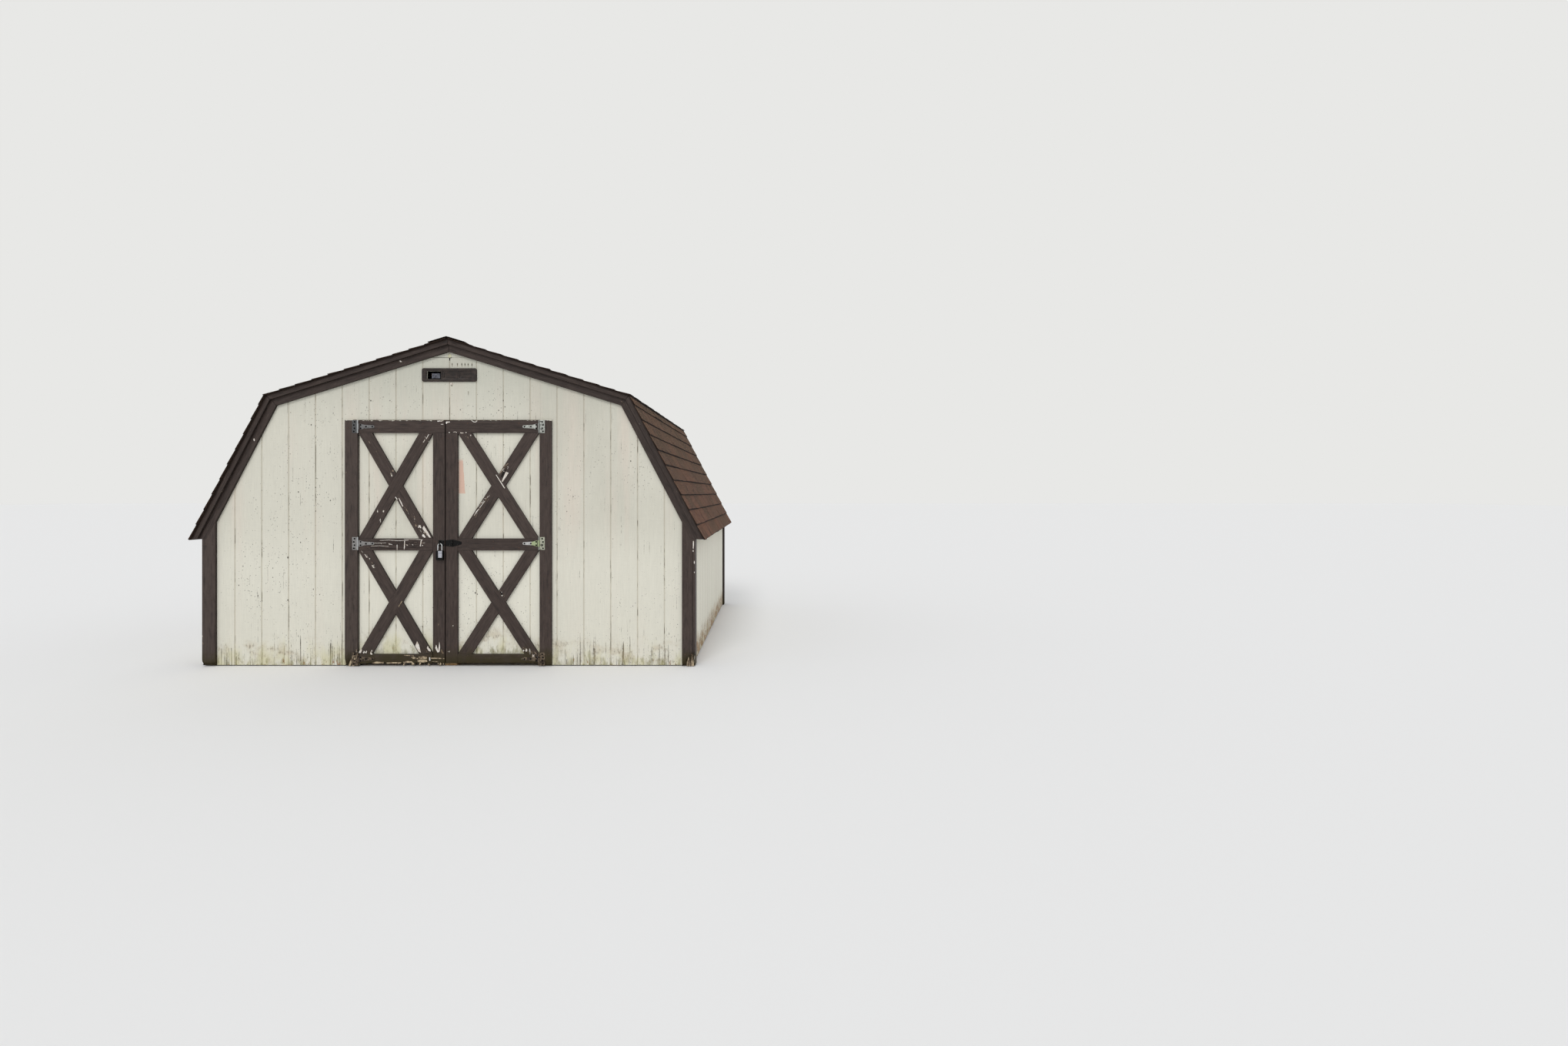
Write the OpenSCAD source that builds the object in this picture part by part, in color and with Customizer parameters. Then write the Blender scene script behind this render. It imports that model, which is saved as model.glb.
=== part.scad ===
// Gambrel-roof storage shed beside the water: 12 ft wide, 10 ft deep, double doors in the front gable.
// Millimetres. +Z up, the doors face -Y, +X is to the right of someone facing the doors.
// The origin is under the middle of the shed, at the level of the skids' underside.

/* [Building] */
// Width over the wall studs
frame_w = 3658; // [3600:1:3760]
// Depth over the wall studs
frame_d = 3048; // [2800:1:3400]
// Height of the roof sheathing at the ridge
ridge_z = 2467; // [2440:1:2520]
// Half width at which the roof changes slope
knee_x = 1364; // [1330:1:1390]
// Height at which the roof changes slope
knee_z = 2043; // [2020:1:2070]
// Half width of the roof sheathing at the eave
eave_x = 1928; // [1915:1:1940]
// Height of the level eave
eave_z = 960; // [950:1:980]
// Height of the top of the side wall plates
plate_z = 1030; // [1020:1:1045]

/* [Boards] */
// Thickness of the grooved plywood siding
siding_t = 12; // [9:1:16]
// Spacing of the siding's grooves
groove_pitch = 203.2; // [100:0.1:310]
// Width of a groove
groove_w = 9.5; // [6:0.5:12]
// Depth of a groove
groove_d = 3; // [2:0.5:5]
// Thickness of trim boards
trim_t = 19; // [16:1:25]
// Width of a four-inch trim board
trim_w = 89; // [80:1:95]
// Thickness of framing lumber
lumber_t = 38; // [35:1:40]
// Depth of framing lumber
lumber_w = 89; // [80:1:92]
// Thickness of the roof sheathing
sheathing_t = 12; // [9:1:16]
// Thickness of the floor boards
floor_t = 16; // [12:1:19]

/* [Roof covering] */
// Exposed height of one shingle course
exposure = 127; // [120:1:145]
// Thickness at the lower edge of a course
butt_t = 9; // [6:1:12]
// Thickness at the upper end of a course
lap_t = 4; // [3:1:5]
// Reach of the shingles past the rake strip
shingle_reach = 20; // [10:1:25]

/* [Doors] */
// Half width of the doorway
door_half = 686; // [660:1:700]
// Height of the siding over the doors
door_head_z = 1862; // [1830:1:1880]
// Underside of the door leaves
leaf_z0 = 22; // [15:1:40]
// Top of the door leaves
leaf_z1 = 1856; // [1830:1:1857]
// Place of the gap between the leaves
meeting_x = -25; // [-40:1:40]
// Width of the gap between the leaves
meeting_gap = 7; // [7:0.5:10]
// Gap between a leaf and its jamb
hinge_gap = 5; // [5:0.5:8]
// Width of the left jamb board
jamb_w_left = 98; // [89:1:100]
// Width of the right jamb board
jamb_w_right = 91; // [89:1:100]

/* [Hidden] */

// Colours, as the weathered paint and metal look
white_paint = [0.80, 0.78, 0.72];
brown_paint = [0.20, 0.15, 0.14];
bare_wood = [0.66, 0.52, 0.36];
plywood = [0.72, 0.58, 0.40];
shingle_brown = [0.36, 0.24, 0.18];
zinc = [0.60, 0.61, 0.60];
black_iron = [0.08, 0.08, 0.08];
steel = [0.75, 0.75, 0.74];

// Planes of the walls
seam = 0.5;
stud_x = frame_w / 2;
stud_y = frame_d / 2;
wall_x = stud_x + siding_t;
wall_y = stud_y + siding_t;
face_x = wall_x + trim_t;
face_y = wall_y + trim_t;
strip_y = face_y + trim_t;
roof_y = strip_y + shingle_reach;
siding_z0 = 8;
trim_z0 = 5;

// Floor
skid_h = lumber_t;
joist_top = skid_h + lumber_w;
floor_z = joist_top + floor_t;
floor_inset = 6;
floor_y = stud_y - floor_inset;
truss_count = 6;
truss_pitch = (frame_d - lumber_t) / (truss_count - 1);

// Roof slopes
slope_up = atan((ridge_z - knee_z) / knee_x);
slope_low = atan((knee_z - eave_z) / (eave_x - knee_x));
rafter_d = sheathing_t + lumber_w;
tail_z = eave_z + sheathing_t;
rake_w = 89;
strip_w = 38;

// Doors
leaf_x_left = -door_half + hinge_gap;
leaf_x_right = door_half - hinge_gap;
meet_left = meeting_x - meeting_gap / 2;
meet_right = meeting_x + meeting_gap / 2;
stile_w = 90;
top_rail_z = 1762;
mid_rail_z0 = 875;
mid_rail_z1 = 965;
low_rail_z = 93;
brace_w = 89;
hinge_zs = [1809, 928, 57];
pin_x = door_half - hinge_gap / 2;
pin_y = -face_y - 5.5;
knuckle_r = 5;
pin_r = 2.5;
pin_play = 0.1;
metal_t = 2.5;
plate_h = 96;
plate_reach = 43;
strap_h = 48;
strap_root = 12;
strap_waist = 28;
strap_waist_x = 46;
strap_tip = 20;
strap_tip_x = 114;
hasp_z = 931;
hasp_h = 52;
hasp_pin_x = 30;
hasp_end_x = 100;
hasp_tip = 20;
lock_x = -59;

// Roof profile at a depth d below the top of the sheathing, right-hand half
function ridge_at(d) = ridge_z - d / cos(slope_up);
function low_x(z, d) = eave_x - (z - eave_z) / tan(slope_low) - d / sin(slope_low);
function knee_x_at(d) = (eave_z + (eave_x - d / sin(slope_low)) * tan(slope_low) - ridge_at(d))
    / (tan(slope_low) - tan(slope_up));
function knee_at(d) = [knee_x_at(d), ridge_at(d) - knee_x_at(d) * tan(slope_up)];
function mirrored(p) = [-p[0], p[1]];
function gambrel(d, z0) = [
    [-low_x(z0, d), z0], mirrored(knee_at(d)), [0, ridge_at(d)], knee_at(d), [low_x(z0, d), z0]
];
function up_run() = [cos(slope_up), -sin(slope_up)];
function low_run() = [cos(slope_low), -sin(slope_low)];

module block(from, to) {
    translate(from) cube(to - from);
}

// Draws an outline of x and z and stretches it from y0 to y1
module along_y(y0, y1) {
    translate([0, y1, 0]) rotate([90, 0, 0]) linear_extrude(y1 - y0) children();
}

module both_sides() {
    children();
    mirror([1, 0, 0]) children();
}

module front_and_back() {
    children();
    mirror([0, 1, 0]) children();
}

// Bands of the roof between two depths, on the right-hand side
module upper_band(d0, d1, y0, y1) {
    along_y(y0, y1) polygon([
        [seam, ridge_at(d0) - seam * tan(slope_up)], knee_at(d0), knee_at(d1),
        [seam, ridge_at(d1) - seam * tan(slope_up)]
    ]);
}

module lower_band(d0, d1, y0, y1, z0) {
    along_y(y0, y1) polygon([
        knee_at(d0) + low_run(), [low_x(z0, d0), z0], [low_x(z0, d1), z0], knee_at(d1) + low_run()
    ]);
}

// Floor
module skids() {
    color(bare_wood) for (x = [-1250, 0, 1250])
        block([x - lumber_w / 2, -floor_y, 0], [x + lumber_w / 2, floor_y, skid_h]);
}

module floor_frame() {
    rim = lumber_t + seam;
    color(bare_wood) {
        front_and_back()
            block([-stud_x, -floor_y, skid_h], [stud_x, -floor_y + lumber_t, joist_top]);
        for (i = [0:9]) {
            x = -stud_x + lumber_t / 2 + i * (frame_w - lumber_t) / 9;
            block([x - lumber_t / 2, -floor_y + rim, skid_h], [x + lumber_t / 2, floor_y - rim, joist_top]);
        }
    }
}

module floor_deck() {
    color(plywood) block([-stud_x, -floor_y, joist_top], [stud_x, floor_y, floor_z]);
}

// Wall frames
module side_wall_frames() {
    color(bare_wood) both_sides() {
        x0 = stud_x - lumber_w;
        block([x0, -stud_y, floor_z], [stud_x, stud_y, floor_z + lumber_t]);
        block([x0, -stud_y, plate_z - lumber_t], [stud_x, stud_y, plate_z]);
        for (i = [0:truss_count - 1]) {
            y = -stud_y + i * truss_pitch;
            block([x0, y, floor_z + lumber_t + seam], [stud_x, y + lumber_t, plate_z - lumber_t - seam]);
        }
    }
}

// A stud of an end wall, cut to the underside of the end rafters
module end_stud(x, z0) {
    intersection() {
        block([x - lumber_t / 2, -stud_y, z0], [x + lumber_t / 2, -stud_y + lumber_w, ridge_z]);
        along_y(-stud_y, stud_y) polygon(gambrel(rafter_d + seam, 0));
    }
}

module front_wall_frame() {
    inner_x = stud_x - lumber_w - seam;
    king_x = door_half + lumber_t + seam + lumber_t / 2;
    header_top = door_head_z + lumber_w;
    color(bare_wood) {
        both_sides() {
            block([door_half, -stud_y, floor_z], [inner_x, -stud_y + lumber_w, floor_z + lumber_t]);
            block([door_half, -stud_y, floor_z + lumber_t + seam],
                [door_half + lumber_t, -stud_y + lumber_w, door_head_z - seam]);
            for (x = [king_x, 2 * truss_pitch, inner_x - lumber_t / 2])
                end_stud(x, floor_z + lumber_t + seam);
        }
        block([-door_half - lumber_t, -stud_y, door_head_z], [door_half + lumber_t, -stud_y + lumber_w, header_top]);
        for (x = [-406.4, 0, 406.4])
            end_stud(x, header_top + seam);
    }
}

module back_wall_frame() {
    inner_x = stud_x - lumber_w - seam;
    color(bare_wood) mirror([0, 1, 0]) {
        block([-inner_x, -stud_y, floor_z], [inner_x, -stud_y + lumber_w, floor_z + lumber_t]);
        for (x = [-2 * truss_pitch, -truss_pitch, 0, truss_pitch, 2 * truss_pitch])
            end_stud(x, floor_z + lumber_t + seam);
        both_sides() end_stud(inner_x - lumber_t / 2, floor_z + lumber_t + seam);
    }
}

// Gambrel trusses: two rafters a side, notched over the wall plate, with plywood gussets at their joints
module truss(y) {
    d = sheathing_t + seam;
    both_sides() {
        upper_band(d, rafter_d, y, y + lumber_t);
        along_y(y, y + lumber_t) polygon([
            knee_at(d) + low_run(), [low_x(tail_z, d), tail_z], [stud_x + seam, tail_z],
            [stud_x + seam, plate_z + seam], [low_x(plate_z + seam, rafter_d), plate_z + seam],
            knee_at(rafter_d) + low_run()
        ]);
    }
}

module roof_trusses() {
    color(bare_wood) for (i = [0:truss_count - 1])
        truss(-stud_y + i * truss_pitch);
}

gusset_t = 9;
gusset_run = 230;

module gusset_pair(y) {
    d = sheathing_t + 4;
    along_y(y, y + gusset_t) {
        polygon([
            [-gusset_run, ridge_at(d) - gusset_run * tan(slope_up)], [0, ridge_at(d)],
            [gusset_run, ridge_at(d) - gusset_run * tan(slope_up)],
            [gusset_run, ridge_at(rafter_d) - gusset_run * tan(slope_up)],
            [-gusset_run, ridge_at(rafter_d) - gusset_run * tan(slope_up)]
        ]);
    }
    both_sides() along_y(y, y + gusset_t) polygon([
        knee_at(d) - gusset_run * up_run(), knee_at(d), knee_at(d) + gusset_run * low_run(),
        knee_at(rafter_d) + gusset_run * low_run(), knee_at(rafter_d) - gusset_run * up_run()
    ]);
}

module truss_gussets() {
    // The siding ties the joints of the end trusses
    color(plywood) for (i = [1:truss_count - 2]) {
        y = -stud_y + i * truss_pitch;
        gusset_pair(y + lumber_t);
        gusset_pair(y - gusset_t);
    }
}

// Siding, with its grooves
module front_grooves(y) {
    reach = ceil(wall_x / groove_pitch);
    for (i = [-reach:reach])
        block([i * groove_pitch - groove_w / 2, -y - 1, 0], [i * groove_pitch + groove_w / 2, -y + groove_d, ridge_z]);
}

module front_siding(x0, x1, z0) {
    difference() {
        intersection() {
            block([x0, -wall_y, z0], [x1, -stud_y, ridge_z]);
            along_y(-wall_y, -stud_y) polygon(gambrel(sheathing_t + 0.2, siding_z0));
            block([-wall_x, -wall_y, 0], [wall_x, -stud_y, ridge_z]);
        }
        front_grooves(wall_y);
        children();
    }
}

module front_wall_left() {
    color(white_paint) front_siding(-wall_x, -door_half, siding_z0);
}

module front_wall_right() {
    color(white_paint) front_siding(door_half, wall_x, siding_z0);
}

vent_w = 413;
vent_h = 102;
vent_z = 2150;
vent_r = 14;
vent_t = 10;
vent_hole_w = 343;
vent_hole_h = 60;
vent_bar = 9;
vent_step = 8;
vent_step_t = 3;

module vent_hole() {
    block([-vent_hole_w / 2, -wall_y - 2, vent_z + (vent_h - vent_hole_h) / 2],
        [vent_hole_w / 2, -stud_y + 2, vent_z + (vent_h + vent_hole_h) / 2]);
}

// The peak is a separate piece of siding
peak_seam_z = 2333;

module peak_seam() {
    block([-door_half, -wall_y - 1, peak_seam_z], [door_half, -wall_y + groove_d, peak_seam_z + 2]);
}

module front_gable() {
    color(white_paint) front_siding(-door_half + seam, door_half - seam, door_head_z) {
        vent_hole();
        peak_seam();
    }
}

module back_wall() {
    color(white_paint) mirror([0, 1, 0]) front_siding(-wall_x, wall_x, siding_z0) vent_hole();
}

module side_wall() {
    reach = floor(stud_y / groove_pitch);
    difference() {
        block([stud_x, -stud_y, siding_z0], [wall_x, stud_y, eave_z]);
        for (i = [-reach:reach])
            block([wall_x - groove_d, i * groove_pitch - groove_w / 2, 0],
                [wall_x + 1, i * groove_pitch + groove_w / 2, eave_z + 1]);
    }
}

module right_wall() {
    color(white_paint) side_wall();
}

module left_wall() {
    color(white_paint) mirror([1, 0, 0]) side_wall();
}

// Corner boards: the front board laps the edge of the side board and is cut to fit under the rake
corner_w = 99;

module corner_pair() {
    both_sides() {
        intersection() {
            block([face_x - corner_w, -face_y, trim_z0], [face_x, -wall_y, knee_z]);
            along_y(-face_y, -wall_y) difference() {
                square([2 * eave_x, knee_z]);
                polygon([
                    [eave_x + 100, eave_z - seam], [low_x(eave_z - seam, rake_w), eave_z - seam],
                    knee_at(rake_w + seam), [knee_x, 2 * knee_z], [eave_x + 100, 2 * knee_z]
                ]);
            }
        }
        block([wall_x, -wall_y + seam, trim_z0], [face_x, -wall_y + trim_w, eave_z - seam]);
    }
}

module front_corner_boards() {
    color(brown_paint) corner_pair();
}

module back_corner_boards() {
    color(brown_paint) mirror([0, 1, 0]) corner_pair();
}

// Doorway trim
module door_jambs() {
    color(brown_paint) {
        block([-door_half - jamb_w_left, -face_y, trim_z0], [-door_half, -wall_y, door_head_z]);
        block([door_half, -face_y, trim_z0], [door_half + jamb_w_right, -wall_y, door_head_z]);
    }
}

module door_stops() {
    y0 = -floor_y;
    color(bare_wood) {
        both_sides()
            block([door_half - trim_t, y0, floor_z + seam], [door_half - seam, y0 + lumber_t, door_head_z - seam]);
        block([-door_half + trim_t + seam, y0, door_head_z - trim_t],
            [door_half - trim_t - seam, y0 + lumber_t, door_head_z - seam]);
    }
}

// Roof
module roof_deck() {
    color(plywood) both_sides() {
        upper_band(0, sheathing_t, -wall_y, wall_y);
        lower_band(0, sheathing_t, -wall_y, wall_y, eave_z);
    }
}

// The stepped outline of lapped courses: from is the lower end, run points up the slope
function course_points(from, run, out, length) = let (n = ceil(length / exposure)) [
    for (i = [0:n - 1], end = [0, 1])
        let (s = min((i + end) * exposure, length))
        from + s * run + (end == 0 ? butt_t : lap_t) * out
];

module course_band(from, run, out, length) {
    along_y(-roof_y, roof_y) polygon(concat([from + seam * out],
        course_points(from, run, out, length), [from + length * run + seam * out]));
}

module lower_courses() {
    from = [eave_x, eave_z] + 8 * low_run();
    length = (knee_z - eave_z) / sin(slope_low) + 20;
    intersection() {
        course_band(from, -low_run(), [sin(slope_low), cos(slope_low)], length);
        along_y(-roof_y, roof_y) polygon([
            [0, 0], [0, ridge_z], [2 * knee_x, ridge_z - 2 * knee_x * tan(slope_up)], [2 * knee_x, 0]
        ]);
    }
}

module upper_courses() {
    from = [knee_x, knee_z] + 16 * up_run();
    length = knee_x / cos(slope_up) + 16;
    course_band(from, -up_run(), [sin(slope_up), cos(slope_up)], length);
}

module shingles_left_lower() {
    color(shingle_brown) mirror([1, 0, 0]) lower_courses();
}

module shingles_left_upper() {
    color(shingle_brown) mirror([1, 0, 0]) upper_courses();
}

module shingles_right_upper() {
    color(shingle_brown) upper_courses();
}

module shingles_right_lower() {
    color(shingle_brown) lower_courses();
}

module ridge_cap() {
    cap_w = 140;
    d = -butt_t - seam;
    color(shingle_brown) along_y(-roof_y, roof_y) polygon([
        [-cap_w, ridge_at(d) - cap_w * tan(slope_up)], [0, ridge_at(d)],
        [cap_w, ridge_at(d) - cap_w * tan(slope_up)], [cap_w, ridge_at(d - lap_t) - cap_w * tan(slope_up)],
        [0, ridge_at(d - lap_t)], [-cap_w, ridge_at(d - lap_t) - cap_w * tan(slope_up)]
    ]);
}

module rake_pair(d1, y0, y1) {
    both_sides() {
        upper_band(0, d1, y0, y1);
        lower_band(0, d1, y0, y1, eave_z);
    }
}

module rake_boards_front() {
    color(brown_paint) rake_pair(rake_w, -face_y, -wall_y);
}

module rake_boards_back() {
    color(brown_paint) rake_pair(rake_w, wall_y, face_y);
}

module rake_strips() {
    color(brown_paint) front_and_back() rake_pair(strip_w, -strip_y, -face_y);
}

module eave_soffits() {
    color(brown_paint) both_sides() along_y(-wall_y + seam, wall_y - seam) polygon([
        [wall_x + seam, eave_z], [low_x(eave_z, sheathing_t + seam), eave_z],
        [low_x(tail_z - seam, sheathing_t + seam), tail_z - seam], [wall_x + seam, tail_z - seam]
    ]);
}

// Gable vents: a raised rim with rounded corners round a stepped-in face, which has three cells.
// One cell is open, and two are closed by slides.
module vent() {
    cx = vent_w / 2 - vent_r;
    z0 = vent_z + vent_r;
    z1 = vent_z + vent_h - vent_r;
    cell = (vent_hole_w - 2 * vent_bar) / 3;
    hole_z0 = vent_z + (vent_h - vent_hole_h) / 2;
    hole_z1 = hole_z0 + vent_hole_h;
    difference() {
        union() {
            for (x = [-cx, cx], z = [z0, z1])
                translate([x, -wall_y, z]) rotate([90, 0, 0]) cylinder(r = vent_r, h = vent_t, $fn = 48);
            block([-cx, -wall_y - vent_t, vent_z], [cx, -wall_y, vent_z + vent_h]);
            block([-vent_w / 2, -wall_y - vent_t, z0], [vent_w / 2, -wall_y, z1]);
        }
        block([-vent_hole_w / 2 - vent_step, -wall_y - vent_t - 1, hole_z0 - vent_step],
            [vent_hole_w / 2 + vent_step, -wall_y - vent_t + vent_step_t, hole_z1 + vent_step]);
        for (i = [-1:1]) {
            x = i * (cell + vent_bar);
            y1 = i < 0 ? -wall_y + 1 : -wall_y - 3;
            block([x - cell / 2, -wall_y - vent_t - 1, hole_z0], [x + cell / 2, y1, hole_z1]);
        }
    }
}

module gable_vent_front() {
    color(brown_paint) vent();
}

module gable_vent_back() {
    color(brown_paint) mirror([0, 1, 0]) vent();
}

// T hinges: a butt plate with the pin on the jamb, a tapered strap on the door
module knuckle(z0, z1) {
    translate([0, 0, z0]) cylinder(r = knuckle_r, h = z1 - z0, $fn = 48);
}

module butt_plate() {
    knuckle_z = strap_h / 2 + 0.5;
    leaf_y = knuckle_r + seam;
    block([-plate_reach, leaf_y - metal_t, -plate_h / 2], [-knuckle_r - 1, leaf_y, plate_h / 2]);
    for (s = [-1, 1]) {
        z0 = s > 0 ? knuckle_z : -plate_h / 2;
        knuckle(z0, z0 + plate_h / 2 - knuckle_z);
        block([-knuckle_r - 2, leaf_y - metal_t, z0], [0, leaf_y, z0 + plate_h / 2 - knuckle_z]);
    }
    translate([0, 0, -plate_h / 2 - 2]) cylinder(r = pin_r, h = plate_h + 4, $fn = 48);
}

module strap() {
    leaf_y = knuckle_r + seam;
    z = strap_h / 2;
    difference() {
        union() {
            knuckle(-z, z);
            translate([0, leaf_y, 0]) rotate([90, 0, 0]) linear_extrude(metal_t) polygon([
                [0, -z], [strap_root, -z], [strap_waist_x, -strap_waist / 2], [strap_tip_x, -strap_tip / 2],
                [strap_tip_x, strap_tip / 2], [strap_waist_x, strap_waist / 2], [strap_root, z], [0, z]
            ]);
            translate([strap_tip_x, leaf_y, 0]) rotate([90, 0, 0])
                cylinder(r = strap_tip / 2, h = metal_t, $fn = 48);
        }
        translate([0, 0, -z - 1]) cylinder(r = pin_r + pin_play, h = strap_h + 2, $fn = 48);
    }
}

module left_hinges() {
    for (z = hinge_zs) translate([-pin_x, pin_y, z]) children();
}

module hinge_plates() {
    color(zinc) both_sides() left_hinges() butt_plate();
}

module left_hinge_straps() {
    color(zinc) left_hinges() strap();
}

module right_hinge_straps() {
    color(zinc) mirror([1, 0, 0]) left_hinges() strap();
}

// Door leaves
module leaf_panel(x0, x1) {
    reach = ceil(door_half / groove_pitch);
    difference() {
        block([x0, -wall_y, leaf_z0], [x1, -stud_y, leaf_z1]);
        for (i = [-reach:reach])
            block([i * groove_pitch - groove_w / 2, -wall_y - 1, 0],
                [i * groove_pitch + groove_w / 2, -wall_y + groove_d, ridge_z]);
    }
}

// Rails run from the hinge side to the stile at the meeting edge; the top rail runs over the stile
module leaf_frame(hinge_x, meet_x) {
    side = sign(meet_x - hinge_x);
    stile_x = meet_x - side * stile_w;
    module rail(xa, xb, z0, z1) {
        block([min(xa, xb), -face_y, z0], [max(xa, xb), -wall_y, z1]);
    }
    rail(hinge_x, meet_x, top_rail_z, leaf_z1);
    rail(hinge_x, stile_x - side * seam, mid_rail_z0, mid_rail_z1);
    rail(hinge_x, stile_x - side * seam, leaf_z0, low_rail_z);
    rail(stile_x, meet_x, leaf_z0, top_rail_z - seam);
}

// Length of a brace's level end, when its two long edges meet opposite corners of a field w0 wide and h0 high
function brace_run(w0, h0) = let (k = pow(brace_w / h0, 2))
    (sqrt(k * k * w0 * w0 + (1 - k) * (brace_w * brace_w + k * w0 * w0)) - k * w0) / (1 - k);

module brace_board(x0, x1, z0, z1, rise, grow) {
    run = brace_run(x1 - x0, z1 - z0);
    low = rise > 0 ? x0 : x1 - run;
    high = rise > 0 ? x1 - run : x0;
    along_y(-face_y, -wall_y) polygon([
        [low - grow, z0], [low + run + grow, z0], [high + run + grow, z1], [high - grow, z1]
    ]);
}

// One board runs from corner to corner of a field, and the other is cut round it
module cross_brace(x0, x1, z0, z1, rise) {
    intersection() {
        block([x0 + seam, -face_y, z0 + seam], [x1 - seam, -wall_y, z1 - seam]);
        union() {
            brace_board(x0, x1, z0, z1, rise, 0);
            difference() {
                brace_board(x0, x1, z0, z1, -rise, 0);
                brace_board(x0, x1, z0, z1, rise, seam);
            }
        }
    }
}

module leaf_braces(x0, x1, rise) {
    cross_brace(x0, x1, mid_rail_z1, top_rail_z, rise);
    cross_brace(x0, x1, low_rail_z, mid_rail_z0, rise);
}

module left_leaf_panel() {
    color(white_paint) leaf_panel(leaf_x_left, meet_left);
}

module right_leaf_panel() {
    color(white_paint) leaf_panel(meet_right, leaf_x_right);
}

module left_leaf_frame() {
    color(brown_paint) leaf_frame(leaf_x_left, meet_left);
}

module right_leaf_frame() {
    color(brown_paint) leaf_frame(leaf_x_right, meet_right);
}

module left_leaf_braces() {
    color(brown_paint) leaf_braces(leaf_x_left, meet_left - stile_w, 1);
}

module right_leaf_braces() {
    color(brown_paint) leaf_braces(meet_right + stile_w, leaf_x_right, -1);
}

// Hasp: a hinged flap on the right leaf, a staple on a plate on the left leaf, and the padlock in the staple
staple_r = 3.5;
staple_half = 12;
staple_y = -face_y - 24;

module hasp_staple() {
    plate_half = hasp_h / 2 - 4;
    color(black_iron) {
        block([meet_left - 47, -face_y - metal_t, hasp_z - plate_half],
            [meet_left - 3, -face_y, hasp_z + plate_half]);
        for (s = [-1, 1]) {
            translate([lock_x, -face_y, hasp_z + s * staple_half]) rotate([90, 0, 0])
                cylinder(r = staple_r, h = -face_y - staple_y, $fn = 32);
            translate([lock_x, staple_y, hasp_z + s * staple_half]) sphere(r = staple_r, $fn = 32);
        }
        translate([lock_x, staple_y, hasp_z - staple_half]) cylinder(r = staple_r, h = 2 * staple_half, $fn = 32);
    }
}

module hasp_plate() {
    z0 = hasp_z - hasp_h / 2;
    knuckle_h = hasp_h / 3;
    color(black_iron) {
        along_y(-face_y - metal_t, -face_y) polygon([
            [hasp_pin_x + knuckle_r + 1, z0], [hasp_end_x - 4, hasp_z - hasp_tip / 2],
            [hasp_end_x, hasp_z], [hasp_end_x - 4, hasp_z + hasp_tip / 2],
            [hasp_pin_x + knuckle_r + 1, z0 + hasp_h]
        ]);
        for (dz = [0, 2 * knuckle_h]) {
            translate([hasp_pin_x, pin_y, z0 + dz]) cylinder(r = knuckle_r, h = knuckle_h, $fn = 48);
            block([hasp_pin_x, -face_y - metal_t, z0 + dz],
                [hasp_pin_x + knuckle_r + 2, -face_y, z0 + dz + knuckle_h]);
        }
        translate([hasp_pin_x, pin_y, z0]) cylinder(r = pin_r, h = hasp_h, $fn = 48);
    }
}

module hasp_flap() {
    z0 = hasp_z - hasp_h / 2;
    knuckle_h = hasp_h / 3;
    tip_x = meet_right + 3;
    root_x = hasp_pin_x - knuckle_r - 1;
    y1 = pin_y + knuckle_r;
    color(black_iron) difference() {
        union() {
            translate([hasp_pin_x, pin_y, z0 + knuckle_h + seam])
                cylinder(r = knuckle_r, h = knuckle_h - 2 * seam, $fn = 48);
            translate([0, y1, 0]) rotate([90, 0, 0]) linear_extrude(metal_t) polygon([
                [hasp_pin_x, z0 + knuckle_h + seam], [hasp_pin_x, z0 + 2 * knuckle_h - seam],
                [root_x, z0 + 2 * knuckle_h - seam], [root_x, z0 + hasp_h], [tip_x, z0 + hasp_h - 4],
                [tip_x, z0 + 4], [root_x, z0], [root_x, z0 + knuckle_h + seam]
            ]);
        }
        translate([hasp_pin_x, pin_y, z0 - 1]) cylinder(r = pin_r + pin_play, h = hasp_h + 2, $fn = 48);
    }
}

// The shackle passes through the staple and hangs on its lower leg
lock_w = 54;
lock_h = 72;
lock_t = 22;
lock_z = 803;
lock_r = 8;
shackle_r = 4;
shackle_half = 15;
lock_y = -face_y - 13;
shackle_z = hasp_z - staple_half + staple_r + 0.5 - (shackle_half - shackle_r);

module padlock_body() {
    x = lock_w / 2 - lock_r;
    color(black_iron) translate([lock_x, lock_y + lock_t / 2, lock_z]) rotate([90, 0, 0]) {
        for (sx = [-x, x], sz = [lock_r, lock_h - lock_r])
            translate([sx, sz, 0]) cylinder(r = lock_r, h = lock_t, $fn = 48);
        translate([-x, 0, 0]) cube([2 * x, lock_h, lock_t]);
        translate([-lock_w / 2, lock_r, 0]) cube([lock_w, lock_h - 2 * lock_r, lock_t]);
    }
}

module padlock_shackle() {
    z0 = lock_z + lock_h + seam;
    color(steel) translate([lock_x, lock_y, 0]) {
        for (s = [-1, 1])
            translate([s * shackle_half, 0, z0]) cylinder(r = shackle_r, h = shackle_z - z0, $fn = 32);
        translate([0, 0, shackle_z]) rotate([90, 0, 0]) rotate_extrude(angle = 180, $fn = 64)
            translate([shackle_half, 0]) circle(r = shackle_r, $fn = 32);
    }
}

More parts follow.
